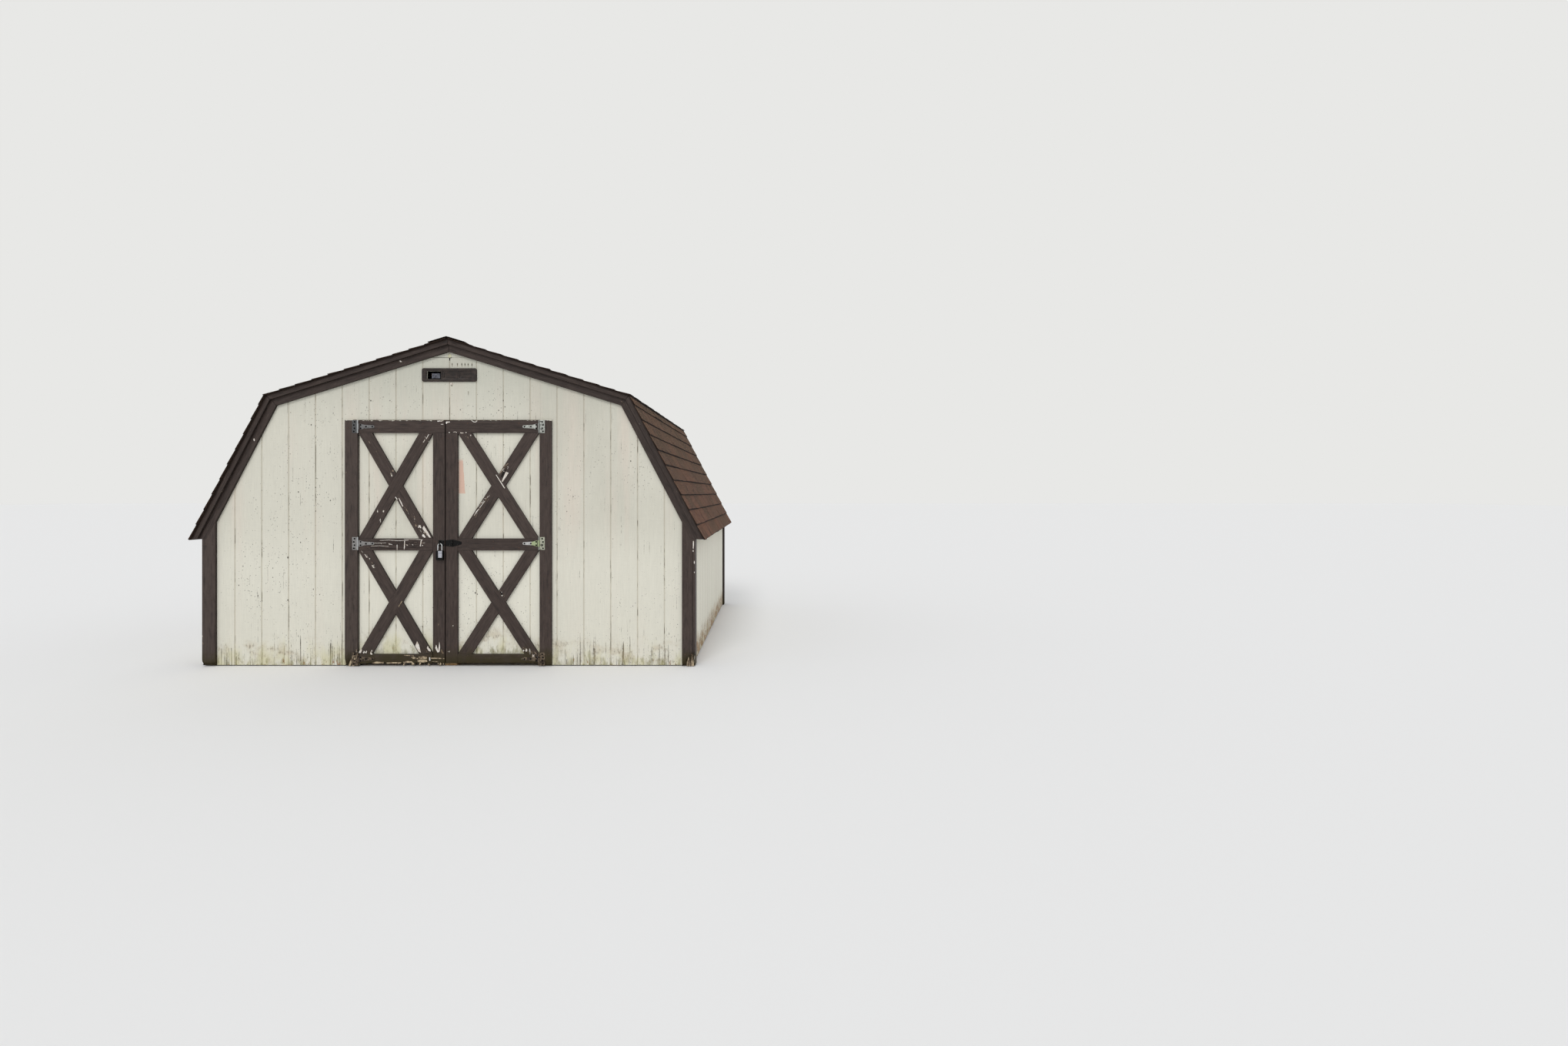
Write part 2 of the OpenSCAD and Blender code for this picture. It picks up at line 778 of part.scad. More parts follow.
skids();
floor_frame();
floor_deck();
side_wall_frames();
front_wall_frame();
back_wall_frame();
roof_trusses();
truss_gussets();
left_wall();
right_wall();
back_wall();
front_wall_left();
front_wall_right();
front_gable();
front_corner_boards();
back_corner_boards();
door_jambs();
door_stops();
roof_deck();
shingles_left_lower();
shingles_left_upper();
shingles_right_upper();
shingles_right_lower();
ridge_cap();
rake_boards_front();
rake_boards_back();
rake_strips();
eave_soffits();
gable_vent_front();
gable_vent_back();
hinge_plates();
left_leaf_panel();
left_leaf_frame();
left_leaf_braces();
left_hinge_straps();
hasp_staple();
padlock_body();
padlock_shackle();
right_leaf_panel();
right_leaf_frame();
right_leaf_braces();
right_hinge_straps();
hasp_plate();
hasp_flap();
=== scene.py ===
import bpy
import math
import random
from mathutils import Matrix, Vector


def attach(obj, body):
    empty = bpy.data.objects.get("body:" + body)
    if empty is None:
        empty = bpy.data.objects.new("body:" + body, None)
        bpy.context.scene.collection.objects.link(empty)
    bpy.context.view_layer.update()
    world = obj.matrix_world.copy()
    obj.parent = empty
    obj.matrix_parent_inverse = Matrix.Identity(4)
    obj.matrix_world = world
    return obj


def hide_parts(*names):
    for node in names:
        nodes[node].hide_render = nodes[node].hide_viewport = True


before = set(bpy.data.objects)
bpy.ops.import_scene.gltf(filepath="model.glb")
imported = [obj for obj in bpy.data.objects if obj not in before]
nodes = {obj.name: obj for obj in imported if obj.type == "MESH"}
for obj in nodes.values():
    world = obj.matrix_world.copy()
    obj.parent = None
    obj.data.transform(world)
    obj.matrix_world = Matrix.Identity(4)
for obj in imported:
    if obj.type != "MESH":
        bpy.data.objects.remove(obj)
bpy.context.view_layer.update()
bpy.ops.object.select_all(action="DESELECT")
print("shed loaded:", len(nodes), "nodes")

# camera, level and square to the front, out past the right-hand corner
view = {
    "place": (2.479, -7.040, 1.312),
    "lens": 16.69,
    "sensor": 36.0,
    "shiftX": 0.0044,
    "shiftY": -0.0194,
    "farClip": 200.0,
}
bpy.ops.object.camera_add(location=view["place"], rotation=(math.pi / 2, 0, 0))
camera = bpy.context.object
camera.data.lens = view["lens"]
camera.data.sensor_width = view["sensor"]
camera.data.shift_x = view["shiftX"]
camera.data.shift_y = view["shiftY"]
camera.data.clip_end = view["farClip"]
bpy.context.scene.camera = camera
bpy.context.scene.view_settings.view_transform = "Standard"


# selecting, modes and finishing
def pickOnly(piece):
    bpy.ops.object.select_all(action="DESELECT")
    piece.select_set(True)
    bpy.context.view_layer.objects.active = piece


def editMode():
    bpy.ops.object.mode_set(mode="EDIT")
    bpy.ops.mesh.select_all(action="SELECT")


def objectMode():
    bpy.ops.object.mode_set(mode="OBJECT")


def applyModifier(piece, kind, **settings):
    pickOnly(piece)
    modifier = piece.modifiers.new(kind.title(), kind)
    for key, value in settings.items():
        setattr(modifier, key, value)
    bpy.ops.object.modifier_apply(modifier=modifier.name)


def ease(piece, width, segments=2):
    applyModifier(piece, "BEVEL", width=width, segments=segments, limit_method="ANGLE",
                  angle_limit=math.radians(30))


def settle(piece):
    # puts the piece's place into its mesh, so that the object sits at the origin
    pickOnly(piece)
    bpy.ops.object.transform_apply(location=True, rotation=True, scale=True)


def joinAll(pieces):
    pickOnly(pieces[0])
    for piece in pieces:
        piece.select_set(True)
    if len(pieces) > 1:
        bpy.ops.object.join()
    return bpy.context.object


def smooth(piece, degrees=35):
    pickOnly(piece)
    bpy.ops.object.shade_smooth_by_angle(angle=math.radians(degrees))


def faceOutwards(piece):
    pickOnly(piece)
    editMode()
    bpy.ops.mesh.normals_make_consistent(inside=False)
    objectMode()


def wear(piece, material):
    piece.data.materials.clear()
    piece.data.materials.append(material)


def hand(piece, name, body, slotName, material=None, *replaced):
    # gives the finished piece its material and name, and says what it moves with and stands for
    if material:
        wear(piece, material)
    piece.name = name
    piece.data.name = name
    if replaced:
        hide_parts(*replaced)
    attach(piece, body)


def copyTo(model, matrix):
    # a copy with its own mesh, placed in it
    copied = model.copy()
    copied.data = model.data.copy()
    bpy.context.collection.objects.link(copied)
    copied.data.transform(matrix)
    return copied


def fillAttribute(piece, name, values):
    layer = piece.data.attributes.new(name, "FLOAT", "POINT")
    layer.data.foreach_set("value", values)


def fillEvenly(piece, name, value):
    fillAttribute(piece, name, [value] * len(piece.data.vertices))


def block(low, high, easing=0.0):
    # a box between two corners with eased edges
    low, high = Vector(low), Vector(high)
    bpy.ops.mesh.primitive_cube_add(size=1, location=(low + high) / 2, scale=high - low)
    piece = bpy.context.object
    settle(piece)
    if easing:
        ease(piece, easing)
    return piece


# node trees: each helper adds to the tree that was opened last, and gives the output of what it added
making = {}
bumpStrength = 0.9


def rgb(red, green, blue):
    parts = [part / 255 for part in (red, green, blue)]
    return (*[part / 12.92 if part < 0.04 else ((part + 0.055) / 1.055) ** 2.4 for part in parts], 1.0)


def openTree(owner):
    owner.use_nodes = True
    making["tree"] = owner.node_tree


def startMaterial(name):
    material = bpy.data.materials.new(name)
    openTree(material)
    return material


def feed(socket, value):
    if isinstance(value, bpy.types.NodeSocket):
        making["tree"].links.new(value, socket)
    else:
        socket.default_value = value


def addNode(kind, sockets=(), **settings):
    made = making["tree"].nodes.new("ShaderNode" + kind)
    for key, value in settings.items():
        setattr(made, key, value)
    for key, value in dict(sockets).items():
        feed(made.inputs[key], value)
    return made


def calc(operation, *values):
    return addNode("Math", enumerate(values), operation=operation).outputs[0]


def plus(first, *others):
    for value in others:
        first = calc("ADD", first, value)
    return first


def times(first, *others):
    for value in others:
        first = calc("MULTIPLY", first, value)
    return first


def ramp(value, low, high):
    # 0 at low and 1 at high, low may be the greater one
    return addNode("MapRange", {"Value": value, "From Min": low, "From Max": high},
                   interpolation_type="SMOOTHSTEP").outputs["Result"]


def tint(factor, below, above, mode="MIX"):
    return addNode("Mix", {0: factor, 6: below, 7: above}, data_type="RGBA", blend_type=mode).outputs[2]


def glaze(color, paint, strength, *masks):
    # another colour over the first one, where the masks are
    return tint(times(*masks, strength), color, paint)


def squeeze(vector, scale, shift=(0, 0, 0)):
    return addNode("Mapping", {"Vector": vector, "Location": shift, "Scale": scale}).outputs[0]


def cloud(vector, scale, detail=3, roughness=0.55, shift=(0, 0, 0)):
    return addNode("TexNoise", {"Vector": squeeze(vector, scale, shift), "Scale": 1, "Detail": detail,
                                "Roughness": roughness}).outputs[0]


def cells(vector, scale):
    # distance to the nearest of many scattered points, and two random values for each point
    made = addNode("TexVoronoi", {"Vector": squeeze(vector, scale), "Scale": 1})
    shades = addNode("SeparateColor", {0: made.outputs["Color"]})
    return made.outputs["Distance"], shades.outputs[0], shades.outputs[1]


def objectPlace():
    return addNode("TexCoord").outputs["Object"]


def places():
    # Object coordinates, and the same split into X, Y and Z
    where = objectPlace()
    return where, addNode("SeparateXYZ", {0: where}).outputs


def attribute(name):
    return addNode("Attribute", attribute_name=name).outputs["Fac"]


def grainPlace():
    return addNode("UVMap", uv_map="grain").outputs[0]


def finished(material, color, roughness, sheen, height=None, depth=0):
    # gives the shader its colour, roughness and highlights, and a fine relief where there is a height
    shader = material.node_tree.nodes["Principled BSDF"]
    feed(shader.inputs["Base Color"], color)
    feed(shader.inputs["Roughness"], roughness)
    feed(shader.inputs["Specular IOR Level"], sheen)
    if height is not None:
        bump = addNode("Bump", {"Strength": bumpStrength, "Distance": depth, "Height": height})
        feed(shader.inputs["Normal"], bump.outputs[0])
    return material


# light: an even sky and one wide soft sun from the front, on a pale floor
studio = {
    "sky": 0.78,
    "skyColor": rgb(250, 252, 255),
    "sunPower": 0.85,
    "sunSpread": math.radians(22),
    "sunTurn": (math.radians(46), 0.0, math.radians(-10)),
    "floorSize": 160.0,
    "floorColor": rgb(238, 237, 235),
    "floorRoughness": 0.9,
    "floorSheen": 0.1,
    "backdrop": rgb(232, 232, 230),
}


def makeStudio():
    bpy.ops.object.light_add(type="SUN", rotation=studio["sunTurn"])
    sun = bpy.context.object
    sun.data.energy = studio["sunPower"]
    sun.data.angle = studio["sunSpread"]

    world = bpy.data.worlds.new("studioSky")
    bpy.context.scene.world = world
    openTree(world)
    world.node_tree.nodes.clear()
    rays = addNode("LightPath").outputs
    seen = calc("MAXIMUM", rays["Is Camera Ray"],
                calc("MAXIMUM", rays["Is Glossy Ray"], rays["Is Transmission Ray"]))
    sky = addNode("Background", {"Color": studio["skyColor"], "Strength": studio["sky"]})
    backdrop = addNode("Background", {"Color": studio["backdrop"]})
    mix = addNode("MixShader", {0: seen, 1: sky.outputs[0], 2: backdrop.outputs[0]})
    addNode("OutputWorld", {0: mix.outputs[0]})

    bpy.ops.mesh.primitive_plane_add(size=studio["floorSize"])
    floor = bpy.context.object
    floor.name = "studio_floor"
    material = startMaterial("paleFloor")
    floor.data.materials.append(finished(material, studio["floorColor"], studio["floorRoughness"],
                                         studio["floorSheen"]))


makeStudio()
print("studio ready")

# paint colours, as the weathered surfaces look in daylight
cream = {
    "light": rgb(215, 212, 198),
    "dull": rgb(204, 201, 187),
    "warm": rgb(220, 206, 192),
    "shaded": rgb(188, 188, 175),
    "lowDown": rgb(224, 221, 207),
    "groove": rgb(182, 172, 154),
    "grooveDirt": rgb(92, 84, 68),
    "mildew": rgb(60, 56, 48),
    "run": rgb(84, 70, 50),
    "algae": rgb(204, 198, 150),
    "stain": rgb(188, 172, 144),
    "soil": rgb(130, 124, 78),
    "rotten": rgb(156, 116, 76),
    "salmon": rgb(217, 178, 158),
    "raw": rgb(186, 156, 118),
    "rawDark": rgb(150, 120, 86),
}
siding = {
    "pitch": 0.2032,
    "grooveHalf": 0.00475,
    "endSkin": 1.5255,
    "sideSkin": 1.8305,
    "leafFoot": 0.085,
}
salmonPatch = {"left": 0.070, "right": 0.098, "slant": 0.075, "bottom": 1.302, "top": 1.573}


def specks(where, scale, share, size, amount):
    # a dot on about the given share of scattered points, larger where amount is greater
    distance, chance = cells(where, scale)[:2]
    return calc("LESS_THAN", distance, times(ramp(chance, 1.0 - share, 1.0), amount, size))


def sidingMaterial(name, side, skin, gain, foot=0.0, runs=1.0, rotReach=0.06, rotCover=0.60, patch=None):
    # side is the axis that the grooves are counted along, and skin the depth at which the painted face
    # begins. runs says how many runs of dirt rise from the foot, rotReach how high the rotten patches come
    # and rotCover the level of noise above which they show
    material = startMaterial(name)
    where, axes = places()
    across, through = (axes["X"], axes["Y"]) if side == "X" else (axes["Y"], axes["X"])
    up = axes["Z"]
    height = calc("SUBTRACT", up, foot)

    def noise(wide, tall, detail=3, roughness=0.55, shift=(0, 0, 0)):
        return cloud(where, (wide, wide, tall), detail, roughness, shift)

    def uneven(*shape):
        return calc("SUBTRACT", noise(*shape), 0.5)

    color = tint(ramp(noise(1.1, 0.8, 4), 0.36, 0.64), cream["dull"], cream["light"])
    color = glaze(color, cream["warm"], 0.5, ramp(noise(7, 0.5, shift=(3, 1, 0)), 0.45, 0.75))
    # painted shade, darker towards the tops of the gables under the roof's edge
    color = glaze(color, cream["shaded"], 0.75, ramp(up, 1.75, 2.35))
    color = glaze(color, cream["lowDown"], 0.75, ramp(up, 1.15, 0.70))

    # rough sawn face: upright fibre crossed by faint saw marks
    fibre = noise(230, 7)
    face = plus(times(fibre, 0.5), times(noise(16, 170, 2), 0.2), times(noise(60, 9), 0.3))
    color = tint(1.0, color, times(plus(times(face, 0.30), 0.85), gain), "MULTIPLY")

    # the grooves are darker all along their middle, a painted shade, and hold dirt in some places
    turns = calc("DIVIDE", across, siding["pitch"])
    nearest = calc("ABSOLUTE", calc("SUBTRACT", turns, calc("ROUND", turns)))
    offset = times(nearest, siding["pitch"])
    inGroove = ramp(offset, siding["grooveHalf"] - 0.0005, siding["grooveHalf"] - 0.0030)
    color = glaze(color, cream["groove"], 0.45, inGroove)
    color = glaze(color, cream["grooveDirt"], 0.8, inGroove, ramp(noise(40, 7, 4, 0.6), 0.52, 0.66))

    # black specks of mildew: tiny ones all over, others in some areas and beside the grooves
    area = plus(ramp(noise(2.3, 1.7, 2), 0.40, 0.66), times(ramp(offset, 0.014, 0.003), 0.3))
    tiny = specks(where, (118, 118, 80), 0.22, 0.40, plus(times(area, 0.6), 0.36))
    small = specks(where, (62, 62, 40), 0.07, 0.27, area)
    speck = calc("MAXIMUM", times(tiny, 0.6), small)
    color = glaze(color, cream["mildew"], 0.85, speck)

    # fine upright runs of dirt, broken up and in groups, most of them low down
    low = ramp(height, 0.40, 0.02)
    groups = ramp(noise(5, 0.9, 2, 0.5, (8, 2, 0)), 0.44, 0.62)
    broken = uneven(90, 42, 3, 0.6)
    run = ramp(plus(noise(180, 2.6, 2, 0.6, (0, 7, 0)), times(low, groups, 0.13 * runs),
                    times(low, 0.055 * runs), times(broken, 0.24)), 0.730, 0.760)
    color = glaze(color, tint(ramp(broken, -0.02, 0.10), cream["run"], cream["mildew"]), 0.85, run)

    # splashed foot of the wall: yellowish algae, soft brown stains in bands, then rotten patches
    splash = plus(height, times(uneven(11, 2.2, 4, 0.6), 0.30))
    color = glaze(color, cream["algae"], 0.55, ramp(splash, 0.22, 0.0),
                  ramp(noise(9, 4, 3, 0.6, (1, 4, 4)), 0.42, 0.62))
    band = times(ramp(height, 0.26, 0.12), ramp(height, 0.0, 0.07),
                 ramp(noise(6, 9, 4, 0.6, (6, 1, 4)), 0.48, 0.68))
    color = glaze(color, cream["stain"], 0.45, band)
    color = glaze(color, cream["run"], 0.55, band, ramp(noise(75, 34, 3, 0.65, (3, 2, 6)), 0.50, 0.64))
    color = glaze(color, cream["soil"], 0.6, ramp(splash, 0.10, 0.01),
                  ramp(noise(34, 14, 4, 0.65, (2, 7, 1)), 0.44, 0.62))
    rotten = times(ramp(splash, rotReach, rotReach * 0.3),
                   ramp(noise(48, 15, 5, 0.65, (5, 5, 2)), rotCover, rotCover + 0.04))
    color = glaze(color, cream["rotten"], 0.9, rotten)
    color = glaze(color, cream["mildew"], 0.8, rotten, ramp(noise(95, 26, 3, 0.6, (2, 5, 0)), 0.56, 0.62))

    if patch:
        # the last coat has come off here, straight on the left and slanting on the right
        edge = plus(times(calc("SUBTRACT", patch["top"], up), patch["slant"]), patch["right"])
        ragged = times(uneven(90, 30), 0.012)
        inside = times(calc("LESS_THAN", plus(across, ragged), edge),
                       calc("GREATER_THAN", across, patch["left"]))
        between = times(ramp(up, patch["bottom"], patch["bottom"] + 0.006),
                        ramp(up, patch["top"], patch["top"] - 0.03))
        color = glaze(color, cream["salmon"], 0.85, inside, between)

    # the back of the sheet was never painted
    unpainted = calc("LESS_THAN", calc("ABSOLUTE", through), skin)
    color = tint(unpainted, color, tint(noise(40, 1.5, 4), cream["raw"], cream["rawDark"]))
    pits = plus(times(speck, -0.5), times(run, -0.8), times(rotten, -1.2))
    return finished(material, color, plus(times(fibre, 0.2), 0.62), 0.25, plus(face, pits), 0.0011)


brown = {
    "paint": rgb(63, 51, 46),
    "deep": rgb(49, 39, 35),
    "faded": rgb(80, 69, 63),
    "lapped": rgb(206, 202, 188),
    "primer": rgb(212, 206, 194),
    "blush": rgb(168, 148, 130),
    "wood": rgb(146, 128, 104),
    "oldWood": rgb(78, 66, 56),
    "crackAndShade": rgb(20, 16, 14),
    "dirt": rgb(50, 42, 8),
}


def brownMaterial():
    # reads each board's own grain map, with U along the board, where its edges are for a painted shade along
    # them, and how worn, how white and how rotten it is
    material = startMaterial("weatheredBrownPaint")
    grain = grainPlace()
    where, axes = places()
    worn, white, rot = attribute("worn"), attribute("white"), attribute("rot")

    def noise(along, across, detail=3, roughness=0.55, shift=(0, 0, 0)):
        return cloud(grain, (along, across, 1), detail, roughness, shift)

    tone = plus(times(attribute("tone"), 0.7), times(noise(2.2, 9), 0.5))
    color = tint(ramp(tone, 0.05, 0.60), brown["deep"], brown["paint"])
    color = glaze(color, brown["faded"], 0.8, ramp(tone, 0.55, 1.1))
    patchy = noise(12, 46, 4, 0.68, (5, 1, 0))
    color = glaze(color, brown["faded"], 0.4, ramp(patchy, 0.50, 0.68))
    color = glaze(color, brown["crackAndShade"], 0.45, ramp(patchy, 0.48, 0.32))
    color = glaze(color, brown["faded"], 0.6, ramp(noise(5, 120, 4, 0.6), 0.50, 0.72))
    color = glaze(color, brown["crackAndShade"], 0.5, ramp(noise(7, 90, 4, 0.6, (3, 6, 0)), 0.50, 0.70))
    # painted shade along the edges of the boards and in the gap between the leaves
    color = glaze(color, brown["crackAndShade"], 0.5, ramp(attribute("rim"), 0.35, 1.0))
    fibre = noise(18, 520)

    # flakes of paint have come off where the board is worn
    bare = plus(worn, white, rot)
    chipped = ramp(plus(noise(22, 95, 5, 0.66), times(bare, 0.36)), 0.750, 0.762)
    ragged = noise(16, 85, 4, 0.62, (4, 4, 0))
    under = tint(ramp(ragged, 0.53, 0.58), brown["oldWood"], brown["blush"])
    under = tint(ramp(plus(ragged, times(rot, 0.09)), 0.58, 0.64), under, brown["wood"])
    whiter = plus(noise(19, 70, 4, 0.6, (1, 8, 0)), times(white, 0.34))
    under = tint(ramp(whiter, 0.58, 0.62), under, brown["primer"])
    color = tint(chipped, color, glaze(under, brown["oldWood"], 0.4, ramp(fibre, 0.45, 0.75)))

    # splits along the grain, black and thin, close together in rot
    opened = plus(noise(4, 110, 4, 0.62, (9, 2, 0)), times(worn, 0.10), times(rot, 0.13))
    split = ramp(opened, 0.705, 0.725)
    color = glaze(color, brown["crackAndShade"], 0.92, split)
    splash = plus(axes["Z"], times(cloud(where, (14, 14, 5)), 0.20))
    color = glaze(color, brown["dirt"], 0.85, ramp(splash, 0.27, 0.12))

    # the wall's cream paint laps raggedly onto the heads of the doors
    lapping = plus(axes["Z"], times(cloud(where, (34, 34, 34), 4, 0.65), 0.044))
    overDoors = times(calc("LESS_THAN", axes["Z"], 1.87),
                      calc("LESS_THAN", calc("ABSOLUTE", axes["X"]), 0.79),
                      calc("LESS_THAN", axes["Y"], -1.54))
    color = tint(times(ramp(lapping, 1.8785, 1.8805), overDoors), color, brown["lapped"])
    height = plus(times(fibre, 0.35), times(chipped, -0.7), times(split, -1.2))
    return finished(material, color, plus(times(chipped, 0.22), 0.56), 0.3, height, 0.0010)


lumber = {
    "pale": rgb(196, 164, 118),
    "late": rgb(158, 118, 76),
    "aged": rgb(150, 128, 100),
    "knot": rgb(92, 60, 36),
}


def lumberMaterial():
    material = startMaterial("bareLumber")
    grain = grainPlace()
    rings = calc("SINE", times(cloud(grain, (1.6, 22, 1), 2), 90))
    color = tint(ramp(rings, -0.2, 1.0), lumber["pale"], lumber["late"])
    color = glaze(color, lumber["aged"], 0.6, attribute("tone"))
    color = tint(ramp(cells(grain, (2.6, 11, 1))[0], 0.15, 0.09), color, lumber["knot"])
    fibre = cloud(grain, (14, 420, 1))
    return finished(material, glaze(color, lumber["late"], 0.25, fibre), 0.78, 0.25, fibre, 0.0005)


plywood = {
    "face": rgb(190, 160, 118),
    "darker": rgb(158, 124, 84),
    "plug": rgb(170, 132, 92),
    "stain": rgb(112, 96, 78),
}


def plywoodMaterial(name, stretch):
    # stretch is the pattern's scale on each axis, low along the grain
    material = startMaterial(name)
    where = objectPlace()
    rings = calc("SINE", times(cloud(where, stretch), 46))
    color = tint(ramp(rings, -0.3, 1.0), plywood["face"], plywood["darker"])
    color = glaze(color, plywood["plug"], 0.6, ramp(cells(where, (3.1, 3.1, 3.1))[0], 0.12, 0.10))
    color = glaze(color, plywood["stain"], 0.5, ramp(cloud(where, (1.2, 1.2, 1.2), 4), 0.5, 0.75))
    return finished(material, color, 0.75, 0.25, cloud(where, tuple(9 * part for part in stretch)), 0.0006)


shingle = {
    "base": rgb(85, 65, 50),
    "dark": rgb(44, 35, 27),
    "red": rgb(116, 77, 60),
    "tan": rgb(166, 128, 102),
    "purple": rgb(102, 70, 68),
    "algae": rgb(72, 63, 44),
    "rim": rgb(26, 20, 18),
}


def shingleMaterial():
    # tone differs from tab to tab; the dark edge is 1 along the lower edge, worn to the asphalt, and where
    # the next course lies on the tab, as a painted shadow of its butt
    material = startMaterial("reddishShingles")
    where, axes = places()
    up, fromMiddle = axes["Z"], calc("ABSOLUTE", axes["Y"])

    def noise(slopeward, alongRidge, detail=3, roughness=0.55, shift=(0, 0, 0)):
        return cloud(where, (slopeward, alongRidge, slopeward), detail, roughness, shift)

    color = tint(ramp(attribute("tone"), 0.0, 1.0), shingle["base"], shingle["red"])
    color = glaze(color, shingle["purple"], 0.6, ramp(noise(9, 9), 0.48, 0.7))
    color = glaze(color, shingle["dark"], 0.62, ramp(noise(3.5, 48, 4, 0.65), 0.44, 0.66))
    color = glaze(color, shingle["algae"], 0.45, ramp(noise(1.5, 11, 4), 0.46, 0.68))
    # the steep slopes have more of it high up and are redder at the eave
    steep = ramp(up, 2.06, 2.03)
    color = glaze(color, shingle["algae"], 0.40, steep, ramp(up, 1.35, 1.85))
    color = glaze(color, shingle["red"], 0.18, ramp(up, 1.35, 0.95))
    color = glaze(color, shingle["dark"], 0.55, steep, ramp(noise(9, 7, 4, 0.75, (1, 2, 3)), 0.48, 0.62))
    # a painted highlight along the rake edges, where the cut edges of the shingles catch the light
    color = glaze(color, shingle["tan"], 0.25, ramp(fromMiddle, 1.552, 1.590))
    # ceramic granules
    distance, first, second = cells(where, (430, 430, 430))
    color = tint(ramp(first, 0.82, 0.90), color, shingle["tan"])
    color = tint(ramp(second, 0.78, 0.86), color, shingle["dark"])
    edge = plus(attribute("rim"), times(noise(70, 70), 0.5))
    # dark worn edges, and the painted shadow below each butt
    color = glaze(color, shingle["rim"], 0.88, ramp(edge, 0.55, 0.95))
    # dark cut ends at the rake edges: their own dark edge and a painted shade under the roof's edge
    color = glaze(color, shingle["rim"], 0.85, calc("GREATER_THAN", fromMiddle, 1.5905))
    return finished(material, color, 0.93, 0.18, plus(times(distance, -0.8), noise(60, 60)), 0.0012)


def metalMaterial(name, bright, dull, grime, roughness, metallic, clean, bands=(), sheen=0.4):
    # two tones mixed in crystals, under rust or grime that leaves about the clean share of it bare; on black
    # iron these spots are pale, worn steel and painted glints
    material = startMaterial(name)
    where, axes = places()
    color = tint(cells(where, (190, 190, 190))[1], rgb(*dull), rgb(*bright))
    level = 0.34 + 0.32 * clean
    grimy = ramp(cloud(where, (62, 62, 62), 4, 0.62), level, level + 0.09)
    color = glaze(color, rgb(*grime), 0.92, grimy)
    # upright bands of another colour, at the same distances left and right of the doorway's middle
    side = calc("ABSOLUTE", axes["X"])
    for near, far, bandColor, strength in bands:
        inside = times(calc("GREATER_THAN", side, near), calc("LESS_THAN", side, far))
        color = glaze(color, bandColor, strength, inside)
    shader = material.node_tree.nodes["Principled BSDF"]
    feed(shader.inputs["Metallic"], times(calc("SUBTRACT", 1, grimy), metallic))
    height = plus(cloud(where, (260, 260, 260), 2), times(grimy, 0.5))
    return finished(material, color, plus(times(grimy, 0.3), roughness), sheen, height, 0.0003)


def spottedMaterial(name, color, spots, scale, roughness, share=0.7):
    # one colour that another shows through in soft spots
    material = startMaterial(name)
    where = objectPlace()
    color = glaze(rgb(*color), rgb(*spots), share, ramp(cloud(where, scale, 4, 0.6), 0.42, 0.62))
    return finished(material, color, roughness, 0.3, cloud(where, (300, 300, 300), 2), 0.0003)


frontSiding = sidingMaterial("creamSidingEnds", "X", siding["endSkin"], 1.0)
sideSiding = sidingMaterial("creamSidingSides", "Y", siding["sideSkin"], 1.06, rotReach=0.20, rotCover=0.47)
leafSiding = sidingMaterial("creamSidingDoors", "X", siding["endSkin"], 1.06, siding["leafFoot"], runs=0.25,
                            rotReach=0.05, rotCover=0.62, patch=salmonPatch)
brownPaint = brownMaterial()
bareLumber = lumberMaterial()
floorPly = plywoodMaterial("floorPlywood", (1.1, 9.0, 9.0))
roofPly = plywoodMaterial("roofPlywood", (7.0, 1.0, 7.0))
redShingle = shingleMaterial()

# brown paint over the straps' roots, barrels in a grey of their own, bright barrels that are a painted
# highlight, and a stained strap
strapRoot = (0.6645, 0.6750, brown["deep"], 1.0)
barrelHighlight = (0.6785, 0.6890, rgb(176, 177, 177), 0.85)
greyBarrel = (0.6785, 0.6890, rgb(124, 126, 122), 0.85)
greenStain = (0.626, 0.690, rgb(154, 170, 116), 0.8)
stainedRoot = (0.668, 0.6750, brown["deep"], 0.7)

# name, bright and dull tones, grime, roughness, metallic, clean share, bands, sheen. On black iron the grime
# is pale: worn steel and painted glints
metals = {row[0]: metalMaterial(*row) for row in (
    ("galvanisedClean", (194, 196, 188), (142, 144, 138), (48, 43, 38), 0.45, 0.1, 0.72,
     (strapRoot, greyBarrel)),
    ("galvanisedDark", (88, 89, 90), (62, 63, 64), (36, 32, 30), 0.55, 0.0, 0.84, (barrelHighlight,)),
    ("galvanisedGrey", (122, 121, 121), (94, 93, 93), (42, 38, 35), 0.55, 0.05, 0.80,
     (strapRoot, barrelHighlight)),
    ("galvanisedPale", (148, 146, 144), (110, 108, 106), (44, 38, 33), 0.5, 0.05, 0.74, (barrelHighlight,)),
    ("galvanisedLimed", (196, 193, 192), (166, 164, 162), (66, 66, 48), 0.5, 0.1, 0.82,
     (greenStain, stainedRoot)),
    ("galvanisedSpeckled", (188, 188, 170), (148, 150, 130), (54, 48, 36), 0.5, 0.1, 0.70, (greyBarrel,)),
    ("galvanisedRusty", (120, 104, 84), (74, 62, 50), (46, 36, 29), 0.65, 0.05, 0.42, (strapRoot,)),
    # pale spots on the black iron: worn steel and painted glints
    ("blackIron", (16, 15, 15), (9, 9, 9), (196, 194, 188), 0.26, 0.0, 0.99, (), 0.16),
    ("brightSteel", (226, 227, 226), (204, 206, 206), (96, 90, 82), 0.22, 0.75, 0.80),
    ("silverPlate", (190, 192, 198), (166, 168, 176), (104, 104, 108), 0.35, 0.4, 0.72),
    # near black screw heads, their colour also standing for the shade in the holes they sit in, a painted
    # shade
    ("darkScrews", (14, 13, 12), (8, 8, 7), (26, 20, 16), 0.7, 0.0, 0.8, (), 0.1),
)}
ventPlastic = spottedMaterial("brownVent", (42, 35, 32), (64, 53, 47), (24, 24, 60), 0.45)
brownNail = spottedMaterial("paintedNails", (60, 50, 45), (96, 64, 44), (30, 30, 30), 0.6)
